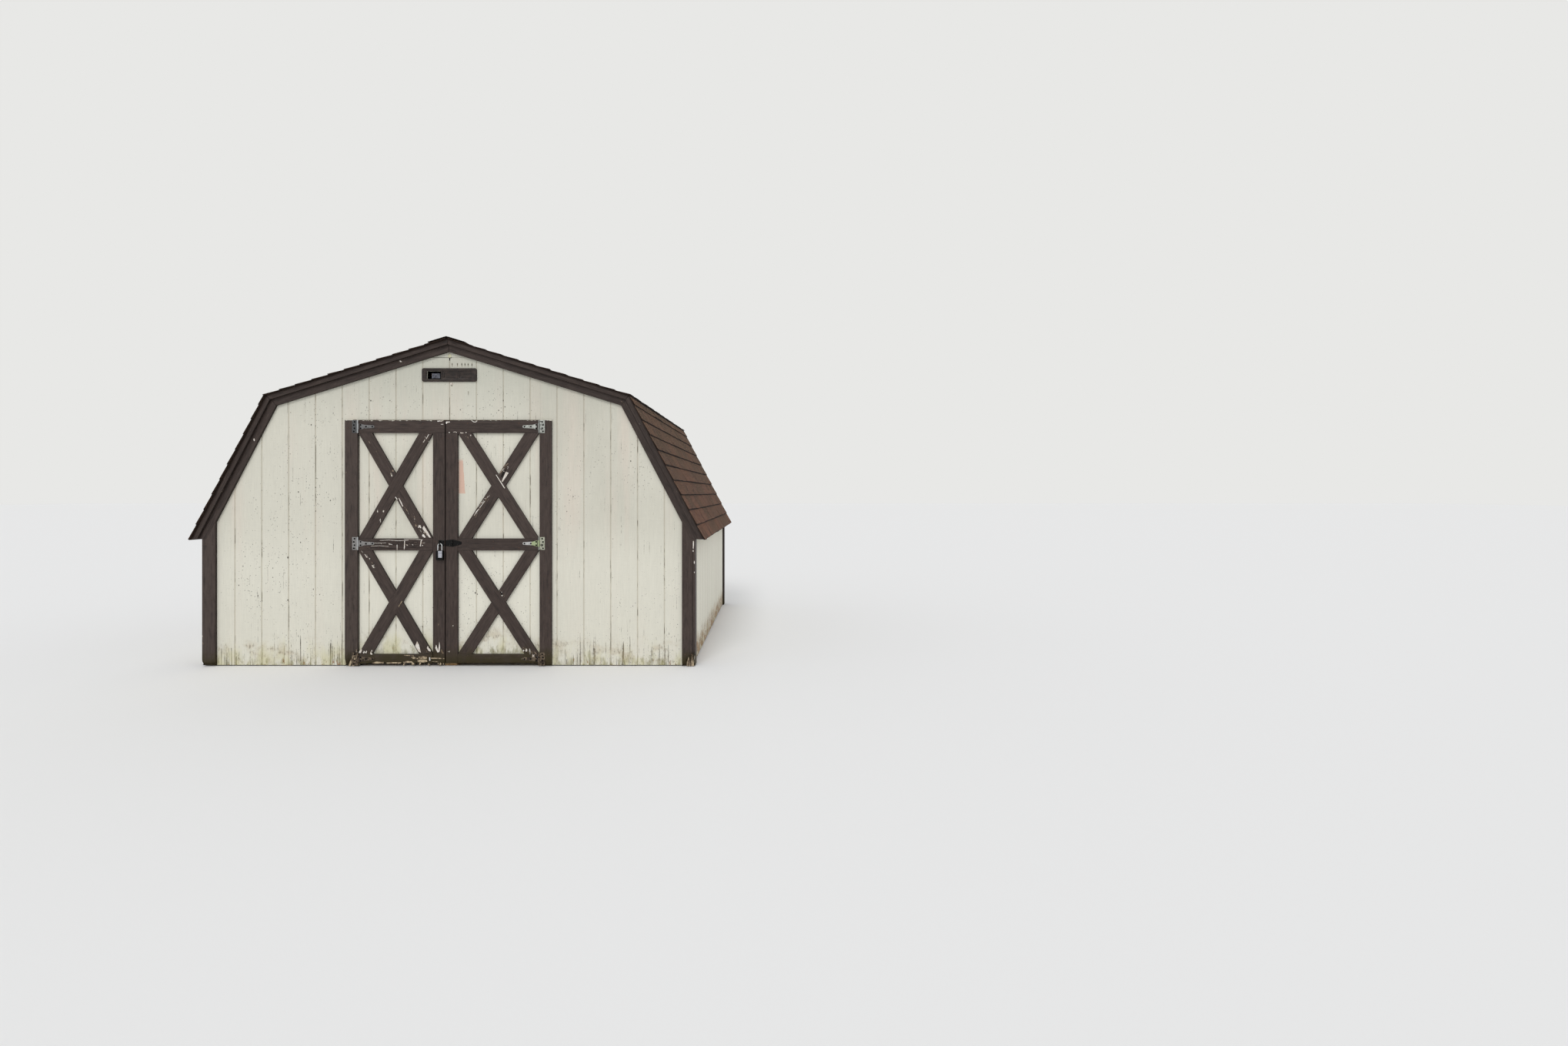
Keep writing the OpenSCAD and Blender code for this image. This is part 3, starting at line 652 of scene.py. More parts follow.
creamNail = spottedMaterial("creamNails", (196, 192, 178), (134, 116, 96), (26, 26, 26), 0.65)
screenWire = spottedMaterial("screenWire", (150, 152, 162), (84, 84, 92), (60, 60, 60), 0.5)
oldCaulk = spottedMaterial("oldCaulk", (208, 206, 178), (184, 180, 150), (70, 70, 70), 0.6)
paleChip = spottedMaterial("paintChips", (226, 221, 213), (188, 170, 152), (45, 45, 45), 0.75, 0.6)
splinterWood = spottedMaterial("splinters", (184, 166, 138), (80, 66, 54), (60, 60, 22), 0.85, 0.95)
rawSplinter = spottedMaterial("rawSplinters", (188, 170, 140), (98, 80, 64), (40, 40, 40), 0.8, 0.9)
openSplit = spottedMaterial("openSplits", (15, 12, 11), (34, 27, 23), (60, 60, 60), 0.9)
rustRunAndShadow = spottedMaterial("rustRunsAndShadow", (96, 92, 78), (146, 138, 118), (90, 90, 60), 0.8, 0.9)
print("materials mixed")


# boards: each solid of a frame node is copied, cut into short lengths, eased at its edges and given its grain
def looseCopies(nodeName):
    source = nodes[nodeName]
    copied = source.copy()
    copied.data = source.data.copy()
    copied.parent = None
    for key in list(copied.keys()):
        del copied[key]
    bpy.context.collection.objects.link(copied)
    copied.data.materials.clear()
    pickOnly(copied)
    editMode()
    bpy.ops.mesh.remove_doubles(threshold=0.00002)
    bpy.ops.mesh.customdata_custom_splitnormals_clear()
    bpy.ops.mesh.dissolve_limited(angle_limit=math.radians(0.5))
    bpy.ops.mesh.separate(type="LOOSE")
    objectMode()
    parts = list(bpy.context.selected_objects)
    parts.sort(key=lambda part: tuple(round(side, 4) for side in part.data.vertices[0].co))
    return parts


def grainAxis(board):
    spots = board.data.vertices
    sides = [(spots[edge.vertices[1]].co - spots[edge.vertices[0]].co) for edge in board.data.edges]
    return max(sides, key=lambda side: side.length).normalized()


def cutEvery(board, direction, step):
    along = [vertex.co.dot(direction) for vertex in board.data.vertices]
    low, high = min(along), max(along)
    count = round((high - low) / step)
    pickOnly(board)
    editMode()
    for i in range(1, count):
        bpy.ops.mesh.select_all(action="SELECT")
        bpy.ops.mesh.bisect(plane_co=direction * (low + (high - low) * i / count), plane_no=direction)
    objectMode()


def mapGrain(board, along, chance):
    # U runs along the board, V round it, and each board starts at its own place in the pattern
    layer = board.data.uv_layers.new(name="grain")
    startU, startV = chance.uniform(0, 40), chance.uniform(0, 40)
    endStretch = 24
    for face in board.data.polygons:
        across = face.normal.cross(along)
        if across.length < 0.5:
            across = face.normal.orthogonal().normalized()
            ahead = face.normal.cross(across) * endStretch
        else:
            across.normalize()
            ahead = along
        for loop in face.loop_indices:
            spot = board.data.vertices[board.data.loops[loop].vertex_index].co
            layer.data[loop].uv = (spot.dot(ahead) + startU, spot.dot(across) + startV)


wearDepth = -1.54


def wearAt(spot, strokes):
    # how worn, white and rotten the board is here at the front
    levels = {"worn": 0.0, "white": 0.0, "rot": 0.0}
    if spot.y > wearDepth:
        return levels
    for kind, rows in strokes.items():
        for *ends, strength in rows:
            x0, z0, x1, z1, halfWidth = (end / 1000 for end in ends)
            if not min(z0, z1) - halfWidth < spot.z < max(z0, z1) + halfWidth:
                continue
            runX, runZ = x1 - x0, z1 - z0
            square = runX * runX + runZ * runZ
            share = ((spot.x - x0) * runX + (spot.z - z0) * runZ) / square if square else 0
            share = min(max(share, 0), 1)
            away = math.hypot(spot.x - x0 - runX * share, spot.z - z0 - runZ * share) / halfWidth
            levels[kind] = max(levels[kind], strength * max(0, 1 - away * away))
    return levels


rotPits = bpy.data.textures.new("rotPits", "CLOUDS")
rotPits.noise_scale = 0.016
rotPits.noise_depth = 2


def eatAway(board, levels, depth):
    # rotten wood is lost, more of it in the pits
    rotten = [i for i, level in enumerate(levels) if level["rot"] > 0.02]
    if not rotten:
        return
    group = board.vertex_groups.new(name="rot")
    for i in rotten:
        group.add([i], min(levels[i]["rot"], 1.0), "REPLACE")
    applyModifier(board, "DISPLACE", texture=rotPits, texture_coords="LOCAL", vertex_group="rot",
                  mid_level=1.0, strength=depth)
    board.vertex_groups.clear()


def edgeShadeLevels(board, widest):
    # how much painted shade each point gets: 1 along the edges of the board's wide faces, falling to 0 at the
    # next row of points. sharpness is how soon a point that the bevel has turned away counts as an edge
    sharpness = 8
    return [min(1.0, (1 - abs(vertex.normal.dot(widest))) * sharpness) for vertex in board.data.vertices]


def paintedBoards(nodeName, pieceName, body, slotName, look, strokes, seed):
    chance = random.Random(seed)
    boards = looseCopies(nodeName)
    for board in boards:
        along = grainAxis(board)
        widest = max(board.data.polygons, key=lambda face: face.area).normal.copy()
        if look["lengthStep"]:
            cutEvery(board, along, look["lengthStep"])
        if look["widthStep"]:
            cutEvery(board, along.cross(widest).normalized(), look["widthStep"])
        ease(board, look["easing"])
        mapGrain(board, along, chance)
        fillAttribute(board, "rim", edgeShadeLevels(board, widest))
        fillEvenly(board, "tone", look["tone"] + look["toneSpread"] * chance.random())
        levels = [wearAt(vertex.co, strokes) for vertex in board.data.vertices]
        fillAttribute(board, "worn", [level["worn"] + look["worn"] for level in levels])
        for kind in ("white", "rot"):
            fillAttribute(board, kind, [level[kind] for level in levels])
        eatAway(board, levels, look["rotDepth"])
    piece = joinAll(boards)
    smooth(piece)
    hand(piece, pieceName, body, slotName, look["material"], nodeName)


trim = {
    "lengthStep": 0.035,
    "widthStep": 0.024,
    "easing": 0.0022,
    "worn": 0.0,
    "tone": 0.15,
    "toneSpread": 0.5,
    "rotDepth": 0.015,
    "material": brownPaint,
}
doorTrim = {**trim, "lengthStep": 0.013, "widthStep": 0.009, "easing": 0.0018}
jambTrim = {**trim, "lengthStep": 0.016, "widthStep": 0.012, "tone": 0.55, "toneSpread": 0.3,
            "rotDepth": 0.03}
rakeTrim = {**trim, "tone": 0.0, "toneSpread": 0.3}
backTrim = {**trim, "worn": 0.12}

# where paint has come off, by what shows there: from x, z to x, z and half width in millimetres, and strength
leftFrameWear = {
    "worn": ((-620, 920, -160, 920, 55, 0.4), (-660, 65, -580, 60, 26, 0.5),
             (-75, 300, -78, 325, 8, 0.9)),
    "rot": ((-100, 80, -35, 85, 30, 0.55), (-280, 55, -150, 50, 26, 0.75),
            (-600, 22, -30, 22, 14, 0.6)),
}
leftBraceWear = {
    "worn": ((-446, 1446, -418, 1480, 14, 0.9), (-600, 1700, -440, 1470, 30, 0.4),
             (-370, 1270, -240, 1080, 34, 0.5), (-240, 1080, -165, 990, 40, 0.62),
             (-150, 1750, -205, 1665, 24, 0.55), (-205, 1665, -330, 1490, 20, 0.3),
             (-650, 870, -540, 720, 28, 0.45), (-660, 120, -600, 100, 20, 0.6)),
    "white": ((-430, 1440, -424, 1448, 8, 1.0), (-535, 1176, -537, 1166, 7, 1.3),
             (-489, 1172, -490, 1164, 7, 1.3), (-518, 1110, -512, 1094, 7, 1.3),
             (-570, 756, -566, 742, 7, 1.1), (-477, 630, -473, 616, 6, 1.2),
             (-110, 850, -100, 815, 7, 1.2)),
    "rot": ((-200, 130, -140, 100, 30, 0.5),),
}
rightFrameWear = {
    "white": ((31, 314, 31, 306, 6, 1.2), (-5, 118, 10, 108, 7, 1.0)),
    "rot": ((0, 22, 680, 22, 14, 0.5),),
    "worn": ((560, 60, 670, 60, 26, 0.8),),
}
rightBraceWear = {
    "worn": ((100, 1745, 190, 1700, 28, 0.4), (385, 1450, 440, 1520, 30, 0.8),
             (195, 1130, 300, 1290, 34, 0.66), (385, 570, 420, 520, 18, 0.7),
             (560, 135, 660, 100, 26, 0.8)),
    "white": ((425, 380, 432, 368, 6, 0.9),),
}
jambWear = {
    "rot": ((-760, 10, -700, 75, 48, 1.0), (700, 6, 770, 6, 18, 0.9)),
    "worn": ((-700, 60, -690, 120, 20, 0.8), (731, 700, 731, 770, 22, 0.42),
             (-775, 1462, -780, 1456, 10, 0.9)),
}
cornerWear = {
    "rot": ((1800, 0, 1850, 60, 55, 1.0), (-1860, 10, -1775, 10, 30, 0.8)),
    "worn": ((-1858, 230, -1858, 160, 16, 0.8),),
}
rakeWear = {
    "worn": ((-378, 2305, -348, 2290, 14, 0.9), (-20, 2440, 10, 2443, 12, 0.6),
             (100, 2390, 120, 2384, 12, 0.6), (1300, 2010, 1340, 1960, 20, 0.6),
             (1620, 1440, 1640, 1390, 14, 0.7)),
    "white": ((1345, 1985, 1352, 1972, 6, 1.2), (1792, 992, 1796, 980, 7, 1.2)),
}

rightTrim = {**doorTrim, "tone": 0.05}
stripTrim = {**rakeTrim, "worn": 0.22}
soffitTrim = {**rakeTrim, "easing": 0.001}
for seed, (nodeName, pieceName, body, look, strokes) in enumerate((
    ("left_leaf_frame", "left_leaf_boards", "left_leaf", doorTrim, leftFrameWear),
    ("left_leaf_braces", "left_cross_braces", "left_leaf", doorTrim, leftBraceWear),
    ("right_leaf_frame", "right_leaf_boards", "right_leaf", rightTrim, rightFrameWear),
    ("right_leaf_braces", "right_cross_braces", "right_leaf", doorTrim, rightBraceWear),
    ("door_jambs", "jamb_boards", "root", jambTrim, jambWear),
    ("front_corner_boards", "front_corner_trim", "root", jambTrim, cornerWear),
    ("back_corner_boards", "back_corner_trim", "root", backTrim, {}),
    ("rake_boards_front", "front_rake_trim", "root", rakeTrim, rakeWear),
    ("rake_boards_back", "back_rake_trim", "root", backTrim, {}),
    ("rake_strips", "rake_edge_strips", "root", stripTrim, {}),
    ("eave_soffits", "soffit_boards", "root", soffitTrim, {}),
), 11):
    paintedBoards(nodeName, pieceName, body, "trim", look, strokes, seed)
print("trim boards made")

framing = {**trim, "lengthStep": 0, "widthStep": 0, "easing": 0.003, "tone": 0.0, "toneSpread": 1.0,
           "material": bareLumber}
framePieces = {
    "skids": "skid_runners",
    "floor_frame": "floor_joists",
    "side_wall_frames": "side_studs",
    "front_wall_frame": "front_studs",
    "back_wall_frame": "back_studs",
    "roof_trusses": "truss_rafters",
    "door_stops": "door_stop_boards",
}
for seed, (nodeName, pieceName) in enumerate(framePieces.items(), 40):
    paintedBoards(nodeName, pieceName, "root", "framing", framing, {}, seed)
print("framing made")

# the sheets stay as they are built and only get their materials
for material, nodeNames in (
    (frontSiding, ("front_wall_left", "front_wall_right", "front_gable", "back_wall")),
    (sideSiding, ("left_wall", "right_wall")),
    (leafSiding, ("left_leaf_panel", "right_leaf_panel")),
    (floorPly, ("floor_deck",)),
    (roofPly, ("roof_deck", "truss_gussets")),
):
    for nodeName in nodeNames:
        wear(nodes[nodeName], material)
print("siding dressed")

# roof
roof = {
    "ridge": (0.0, 2.467),
    "knee": (1.364, 2.043),
    "eave": (1.928, 0.960),
    "halfLength": 1.594,
}
tabs = {
    "exposure": 0.127,
    "overlap": 0.020,
    "width": 0.3048,
    "slot": 0.007,
    "thick": 0.0052,
    "butt": 0.0096,
    "lap": 0.0042,
    "curl": 0.0034,
    "slide": 0.0022,
    "ragged": 0.003,
    "narrowest": 0.02,
    "shortest": 0.03,
    "corner": 0.004,
    "sideEdgeAndShade": 0.0,
    "columns": (0.0, 0.25, 0.5, 0.75, 1.0),
    "rows": (0.0, 0.045, 0.78, 0.86, 1.0),
    "rims": (1.0, 0.0, 0.0, 0.85, 1.0),
}


def modelShingle(look):
    # one tab or cap, a unit wide and long, with its butt end at y = 0
    columns, rows = look["columns"], look["rows"]
    bpy.ops.mesh.primitive_grid_add(x_subdivisions=len(columns) - 1, y_subdivisions=len(rows) - 1, size=1,
                                    location=(0.5, 0.5, 0))
    piece = bpy.context.object
    settle(piece)
    # how dark each point is: worn edges, and a painted shadow where the next course's butt lies over the tab
    rim = []
    for vertex in piece.data.vertices:
        column = round(vertex.co.x * (len(columns) - 1))
        row = round(vertex.co.y * (len(rows) - 1))
        atSide = column in (0, len(columns) - 1)
        corner = look["corner"] / look["exposure"] if row == 0 and atSide else 0
        vertex.co.x, vertex.co.y = columns[column], rows[row] + corner
        rim.append(max(look["rims"][row], look["sideEdgeAndShade"] if atSide else 0))
    fillAttribute(piece, "rim", rim)
    applyModifier(piece, "SOLIDIFY", thickness=1.0, offset=-1)
    return piece


def handShingles(made, pieceName, nodeName):
    piece = joinAll(made)
    faceOutwards(piece)
    hand(piece, pieceName, "root", "shingles", redShingle, nodeName)


def layTab(model, slope, x0, x1, low, depth, chance):
    start, along, up, out = slope
    tab = copyTo(model, Matrix())
    slide = chance.uniform(-1, 1) * tabs["slide"]
    curls = [chance.random() ** 3 * tabs["curl"] for corner in range(2)]
    for vertex in tab.data.vertices:
        share, rise, under = vertex.co.x, vertex.co.y, vertex.co.z < -0.5
        height = tabs["butt"] - (tabs["butt"] - tabs["lap"]) * rise * depth / tabs["exposure"]
        if under:
            height = max(height - tabs["thick"], 0.0005)
        lift = (curls[0] * (1 - share) + curls[1] * share) * max(0, 1 - rise * 2.5)
        across, rising = x0 + (x1 - x0) * share, low + slide + rise * depth
        vertex.co = start + along * across + up * rising + out * (height + lift)
    fillEvenly(tab, "tone", chance.random())
    return tab


def shingleSlope(pieceName, nodeName, foot, top, side, ends, seed):
    # ends: how far the first course hangs past the foot line and the last one stops short of the top line
    chance = random.Random(seed)
    below, short = ends
    up = Vector(((top[0] - foot[0]) * side, 0, top[1] - foot[1])).normalized()
    out = Vector((side * up.z, 0, -side * up.x))
    along = up.cross(out)
    length = math.dist(foot, top) + below - short
    start = Vector((foot[0] * side, 0, foot[1])) - up * below
    half = roof["halfLength"]
    model = modelShingle(tabs)
    made = []
    course = 0
    while course * tabs["exposure"] < length - tabs["shortest"]:
        low = course * tabs["exposure"]
        depth = min(tabs["exposure"] + tabs["overlap"], length - low)
        left = -half - (course % 2) * tabs["width"] / 2 - 0.12
        while left < half:
            x0 = max(left + tabs["slot"] / 2, -half + chance.uniform(0, tabs["ragged"]))
            x1 = min(left + tabs["width"] - tabs["slot"] / 2, half - chance.uniform(0, tabs["ragged"]))
            left += tabs["width"]
            if x1 - x0 > tabs["narrowest"]:
                made.append(layTab(model, (start, along, up, out), x0, x1, low, depth, chance))
        course += 1
    bpy.data.objects.remove(model)
    # dark felt that shows in the slots
    felt = block((-1, 0, 0), (1, 1, 1))
    for vertex in felt.data.vertices:
        wide, rise, thick = vertex.co
        vertex.co = (start + along * wide * (half - 0.004) + up * (rise * (length - 0.006) + 0.003)
                     + out * (thick * 0.0022 + 0.0002))
    fillEvenly(felt, "tone", 0.0)
    fillEvenly(felt, "rim", 1.0)
    made.append(felt)
    handShingles(made, pieceName, nodeName)


for side, word in ((1, "right"), (-1, "left")):
    shingleSlope(f"shingle_tabs_{word}_lower", f"shingles_{word}_lower", roof["eave"], roof["knee"], side,
                 (0.008, 0.006), 31 + side)
    shingleSlope(f"shingle_tabs_{word}_upper", f"shingles_{word}_upper", roof["knee"], roof["ridge"], side,
                 (0.016, 0.004), 34 + side)
print("shingles laid")

caps = {
    "exposure": 0.127,
    "length": 0.205,
    "halfWidth": 0.140,
    "thick": 0.0042,
    "butt": 0.0172,
    "fall": 0.0041,
    "lean": 0.002,
    "lift": 0.002,
    "shortest": 0.04,
    "corner": 0.0,
    "sideEdgeAndShade": 0.8,
    "columns": (-1.0, -0.55, -0.10, 0.0, 0.10, 0.55, 1.0),
    "rows": (0.0, 0.03, 0.60, 0.65, 1.0),
    "rims": (1.0, 0.0, 0.0, 0.85, 1.0),
}


def ridgeCaps():
    chance = random.Random(51)
    ridgeZ = roof["ridge"][1]
    pitch = math.atan2(ridgeZ - roof["knee"][1], roof["knee"][0])
    half = roof["halfLength"]
    model = modelShingle(caps)
    made = []
    first = -half
    while first < half - caps["shortest"]:
        cap = copyTo(model, Matrix())
        length = min(caps["length"], half - first)
        lean = chance.uniform(-1, 1) * caps["lean"]
        lift = chance.random() ** 2 * caps["lift"]
        for vertex in cap.data.vertices:
            share, rise, under = vertex.co.x, vertex.co.y * length, vertex.co.z < -0.5
            if under:
                # the cap's underside is dark, a painted shade under the cap
                cap.data.attributes["rim"].data[vertex.index].value = 1.0
            run = share * caps["halfWidth"] + lean
            height = caps["butt"] - caps["fall"] * rise / caps["exposure"] - (caps["thick"] if under else 0)
            height += lift * abs(share) * max(0, 1 - rise / 0.06)
            side = (share > 0) - (share < 0)
            vertex.co = Vector((
                run * math.cos(pitch) + side * height * math.sin(pitch),
                first + rise,
                ridgeZ - abs(run) * math.sin(pitch) + height * (math.cos(pitch) if side else 1),
            ))
        fillEvenly(cap, "tone", chance.random())
        made.append(cap)
        first += caps["exposure"]
    bpy.data.objects.remove(model)
    handShingles(made, "ridge_cap_shingles", "ridge_cap")


ridgeCaps()
print("ridge capped")


# metalwork: eased copies of the frame's solids, with a finish chosen by where each one sits
def metalwork(nodeName, pieceName, body, slotName, easing, finishFor):
    parts = looseCopies(nodeName)
    for part in parts:
        spots = [vertex.co for vertex in part.data.vertices]
        middle = sum(spots, Vector()) / len(spots)
        ease(part, easing)
        wear(part, finishFor(middle))
    piece = joinAll(parts)
    smooth(piece)
    hand(piece, pieceName, body, slotName, None, nodeName)


hinges = {
    "levels": (1.809, 0.928, 0.057),
    "pinX": 0.6835,
    "faceY": -1.5580,
    "easing": 0.0006,
    "upper": 1.2,
    "lower": 0.3,
    # left and right, from the top hinges down
    "strapFinishes": (("Grey", "Clean"), ("Pale", "Limed"), ("Rusty", "Rusty")),
    "plateFinishes": (("Dark", "Clean"), ("Pale", "Speckled"), ("Rusty", "Rusty")),
    "screw": (0.0062, 0.0014),
    "plateHoles": ((-0.024, 0.036), (-0.030, 0.012), (-0.025, -0.012), (-0.030, -0.036)),
    "strapHoles": ((0.021, 0.013), (0.021, -0.013), (0.062, 0.0), (0.110, 0.0)),
}


def hingeFinish(middle, finishes):
    # the lowest hinges are the rustiest, and the strap in the middle of the right leaf is stained green
    level = 0 if middle.z > hinges["upper"] else 1 if middle.z > hinges["lower"] else 2
    left, right = finishes[level]
    return metals["galvanised" + (left if middle.x < 0 else right)]


for nodeName, pieceName, body in (
    ("hinge_plates", "hinge_butts", "root"),
    ("left_hinge_straps", "left_straps", "left_leaf"),
    ("right_hinge_straps", "right_straps", "right_leaf"),
):
    finishes = hinges["plateFinishes" if body == "root" else "strapFinishes"]
    metalwork(nodeName, pieceName, body, "zinc", hinges["easing"],
              lambda middle: hingeFinish(middle, finishes))


def modelHead(vertices, radius, height, easing):
    # the head of a nail or screw, facing the front and standing out from y = 0 by its height
    bpy.ops.mesh.primitive_cylinder_add(vertices=vertices, radius=radius, depth=height * 2,
                                        rotation=(math.pi / 2, 0, 0))
    head = bpy.context.object
    settle(head)
    ease(head, easing * height, 1)
    return head


def modelScrew(radius, height):
    # with a cross slot
    head = modelHead(16, radius, height, 0.45)
    wide, deep, thin = radius * 0.62, height * 0.35, radius * 0.14
    for reachX, reachZ in ((wide, thin), (thin, wide)):
        cutter = block((-reachX, -height * 1.4, -reachZ), (reachX, -deep, reachZ))
        applyModifier(head, "BOOLEAN", object=cutter, operation="DIFFERENCE", solver="EXACT")
        bpy.data.objects.remove(cutter)
    return head


def scatter(model, spots, name, body, slotName, material, chance):
    # one copy of the model at each spot, turned at random about the axis that faces the front
    made = []
    for spot in spots:
        turn = Matrix.Rotation(chance.uniform(0, math.tau), 4, "Y")
        made.append(copyTo(model, Matrix.Translation(spot) @ turn))
    piece = joinAll(made)
    smooth(piece)
    hand(piece, name, body, slotName, material)


def hingeSpots(side, holes):
    return [(side * (hinges["pinX"] - x), hinges["faceY"], level + z)
            for level in hinges["levels"] for x, z in hinges[holes]]


chance = random.Random(61)
screw = modelScrew(*hinges["screw"])
for spots, name, body in (
    (hingeSpots(1, "plateHoles") + hingeSpots(-1, "plateHoles"), "plate_screws", "root"),
    (hingeSpots(-1, "strapHoles"), "left_strap_screws", "left_leaf"),
    (hingeSpots(1, "strapHoles"), "right_strap_screws", "right_leaf"),
):
    scatter(screw, spots, name, body, "steel", metals["darkScrews"], chance)

# hasp and padlock
hasp = {
    "faceY": -1.5575,
    "staplePlate": ((-0.0705, 0.947), (-0.0705, 0.915), (-0.0365, 0.947), (-0.0365, 0.915)),
    "endPlate": ((0.048, 0.944), (0.048, 0.918), (0.084, 0.931)),
    "screw": (0.0040, 0.0016),
}
for nodeName, pieceName, body, slotName, easing, finish in (
    ("hasp_staple", "staple", "left_leaf", "black_iron", 0.0005, "blackIron"),
    ("hasp_plate", "hasp_end_plate", "right_leaf", "black_iron", 0.0005, "blackIron"),
    ("hasp_flap", "hasp_swing_flap", "hasp_flap", "black_iron", 0.0005, "blackIron"),
    ("padlock_body", "padlock_case", "left_leaf", "black_iron", 0.0022, "blackIron"),
    ("padlock_shackle", "padlock_bow", "left_leaf", "steel", 0.0004, "brightSteel"),
):
    metalwork(nodeName, pieceName, body, slotName, easing, lambda middle: metals[finish])
haspScrew = modelScrew(*hasp["screw"])
for holes, name, body in (
    ("staplePlate", "staple_screws", "left_leaf"),
    ("endPlate", "hasp_screws", "right_leaf"),
):
    spots = [(x, hasp["faceY"], z) for x, z in hasp[holes]]
    scatter(haspScrew, spots, name, body, "black_iron", metals["blackIron"], chance)

padlock = {
    "frontY": -1.579,
    "plateX": (-0.0675, -0.0375),
    "plateZ": (0.823, 0.8735),
    "splitZ": 0.855,
    "proud": 0.0012,
    "sunk": 0.0015,
    "gap": 0.0012,
    "easing": 0.0005,
}


def padlockPlates():
    x0, x1 = padlock["plateX"]
    z0, z1 = padlock["plateZ"]
    y0, y1 = padlock["frontY"] - padlock["proud"], padlock["frontY"] + padlock["sunk"]
    halfGap, easing = padlock["gap"] / 2, padlock["easing"]
    lower = block((x0, y0, z0), (x1, y1, padlock["splitZ"] - halfGap), easing)
    upper = block((x0, y0, padlock["splitZ"] + halfGap), (x1, y1, z1), easing)
    piece = joinAll([lower, upper])
    smooth(piece)
    hand(piece, "padlock_plates", "left_leaf", "steel", metals["silverPlate"])


padlockPlates()
print("metalwork made")

# gable vents
vent = {
    "z": (2.171, 2.231),
    "halfWidth": 0.1715,
    "bar": 0.009,
    "slideY": -1.539,
    "screen": (-0.133, -0.071, 2.177, 2.213),
    "screenY": -1.5385,
    "wire": 0.0008,
    "wirePitch": 0.0048,
    "corner": 0.007,
    "easing": 0.0012,
    "near": 0.001,
    # a lug and ribs on a closed slide: where each begins and ends across the cell, how proud, how eased
    "lug": (0.008, 0.016, 0.004, 0.0012),
    "rib": (0.024, 0.008, 0.0018, 0.0008),
    "ribCount": 4,
    "ribStep": 0.012,
    "ribHeight": 0.003,
}


def roundCorners(plate):
    # the plate's four outer corners, which run through it from front to back
    pickOnly(plate)
    editMode()
    bpy.ops.mesh.select_all(action="DESELECT")
    bpy.ops.mesh.select_mode(type="EDGE")
    objectMode()
    spots = [vertex.co for vertex in plate.data.vertices]
    reachX = max(abs(spot.x) for spot in spots)
    top, bottom = max(spot.z for spot in spots), min(spot.z for spot in spots)
    for edge in plate.data.edges:
        a, b = (spots[i] for i in edge.vertices)
        atSide = min(abs(a.x), abs(b.x)) > reachX - vent["near"]
        atEnd = min(a.z, b.z) > top - vent["near"] or max(a.z, b.z) < bottom + vent["near"]
        edge.select = atSide and atEnd and abs(a.y - b.y) > vent["near"]
    bpy.ops.object.mode_set(mode="EDIT")
    bpy.ops.mesh.bevel(offset=vent["corner"], segments=4)
    objectMode()


def screenPanel():
    # a flat net made by the wireframe modifier
    x0, x1, z0, z1 = vent["screen"]
    columns = round((x1 - x0) / vent["wirePitch"])
    rows = round((z1 - z0) / vent["wirePitch"])
    bpy.ops.mesh.primitive_grid_add(x_subdivisions=columns, y_subdivisions=rows, size=1,
                                    location=((x0 + x1) / 2, vent["screenY"], (z0 + z1) / 2),
                                    rotation=(math.pi / 2, 0, 0))
    net = bpy.context.object
    net.scale = (x1 - x0, z1 - z0, 1)
    settle(net)
    applyModifier(net, "WIREFRAME", thickness=vent["wire"] * 2, use_replace=True)
    return net


def slideRibs(middle, halfCell, z0, z1):
    y, left, right = vent["slideY"], middle - halfCell, middle + halfCell
    back, step = y + vent["near"], vent["ribStep"]
    first, last, proud, easing = vent["lug"]
    ribs = [block((left + first, y - proud, z0 + step), (left + last, back, z1 - step), easing)]
    first, last, proud, easing = vent["rib"]
    for k in range(vent["ribCount"]):
        z = z0 + step + k * step
        ribs.append(block((left + first, y - proud, z), (right - last, back, z + vent["ribHeight"]), easing))
    return ribs


def gableVent(nodeName, turn, word):
    # turn takes the pieces made here for the front to their own end of the shed
    plate = joinAll(looseCopies(nodeName))
    roundCorners(plate)
    ease(plate, vent["easing"])
    smooth(plate)
    hand(plate, f"vent_frame_{word}", "root", "trim", ventPlastic, nodeName)
    halfCell = (vent["halfWidth"] - vent["bar"]) / 3
    z0, z1 = vent["z"]
    step = 2 * halfCell + vent["bar"]
    slides = joinAll(slideRibs(0, halfCell, z0, z1) + slideRibs(step, halfCell, z0, z1))
    slides.data.transform(turn)
    smooth(slides)
    hand(slides, f"vent_slide_ribs_{word}", "root", "trim", ventPlastic)
    net = screenPanel()
    net.data.transform(turn)
    hand(net, f"vent_screen_{word}", "root", "steel", screenWire)


halfTurn = Matrix.Rotation(math.pi, 4, "Z")
gableVent("gable_vent_front", Matrix(), "front")
gableVent("gable_vent_back", halfTurn, "back")
print("vents made")

# nails
nail = {
    "radius": 0.0038,
    "height": 0.0011,
    "sidingY": -1.536,
    "trimY": -1.555,
    "studPitch": 0.6096,
    "studShift": 0.016,
    "sidingFoot": 0.06,
    "sidingStep": 0.305,
    "trimStep": 0.41,
    "rails": (1.809, 0.920, 0.057),
    "railStep": 0.25,
    "pairHalf": 0.025,
}


def pairsAlong(x0, z0, x1, z1, step):
    # two nails across a board at even steps along its middle line
    run = Vector((x1 - x0, 0, z1 - z0))
    count = max(round(run.length / step), 1)
    across = Vector((-run.z, 0, run.x)).normalized() * nail["pairHalf"]
    spots = []
    for i in range(count + 1):
        middle = Vector((x0, nail["trimY"], z0)) + run * (i / count)
        spots += [middle + across, middle - across]
    return spots


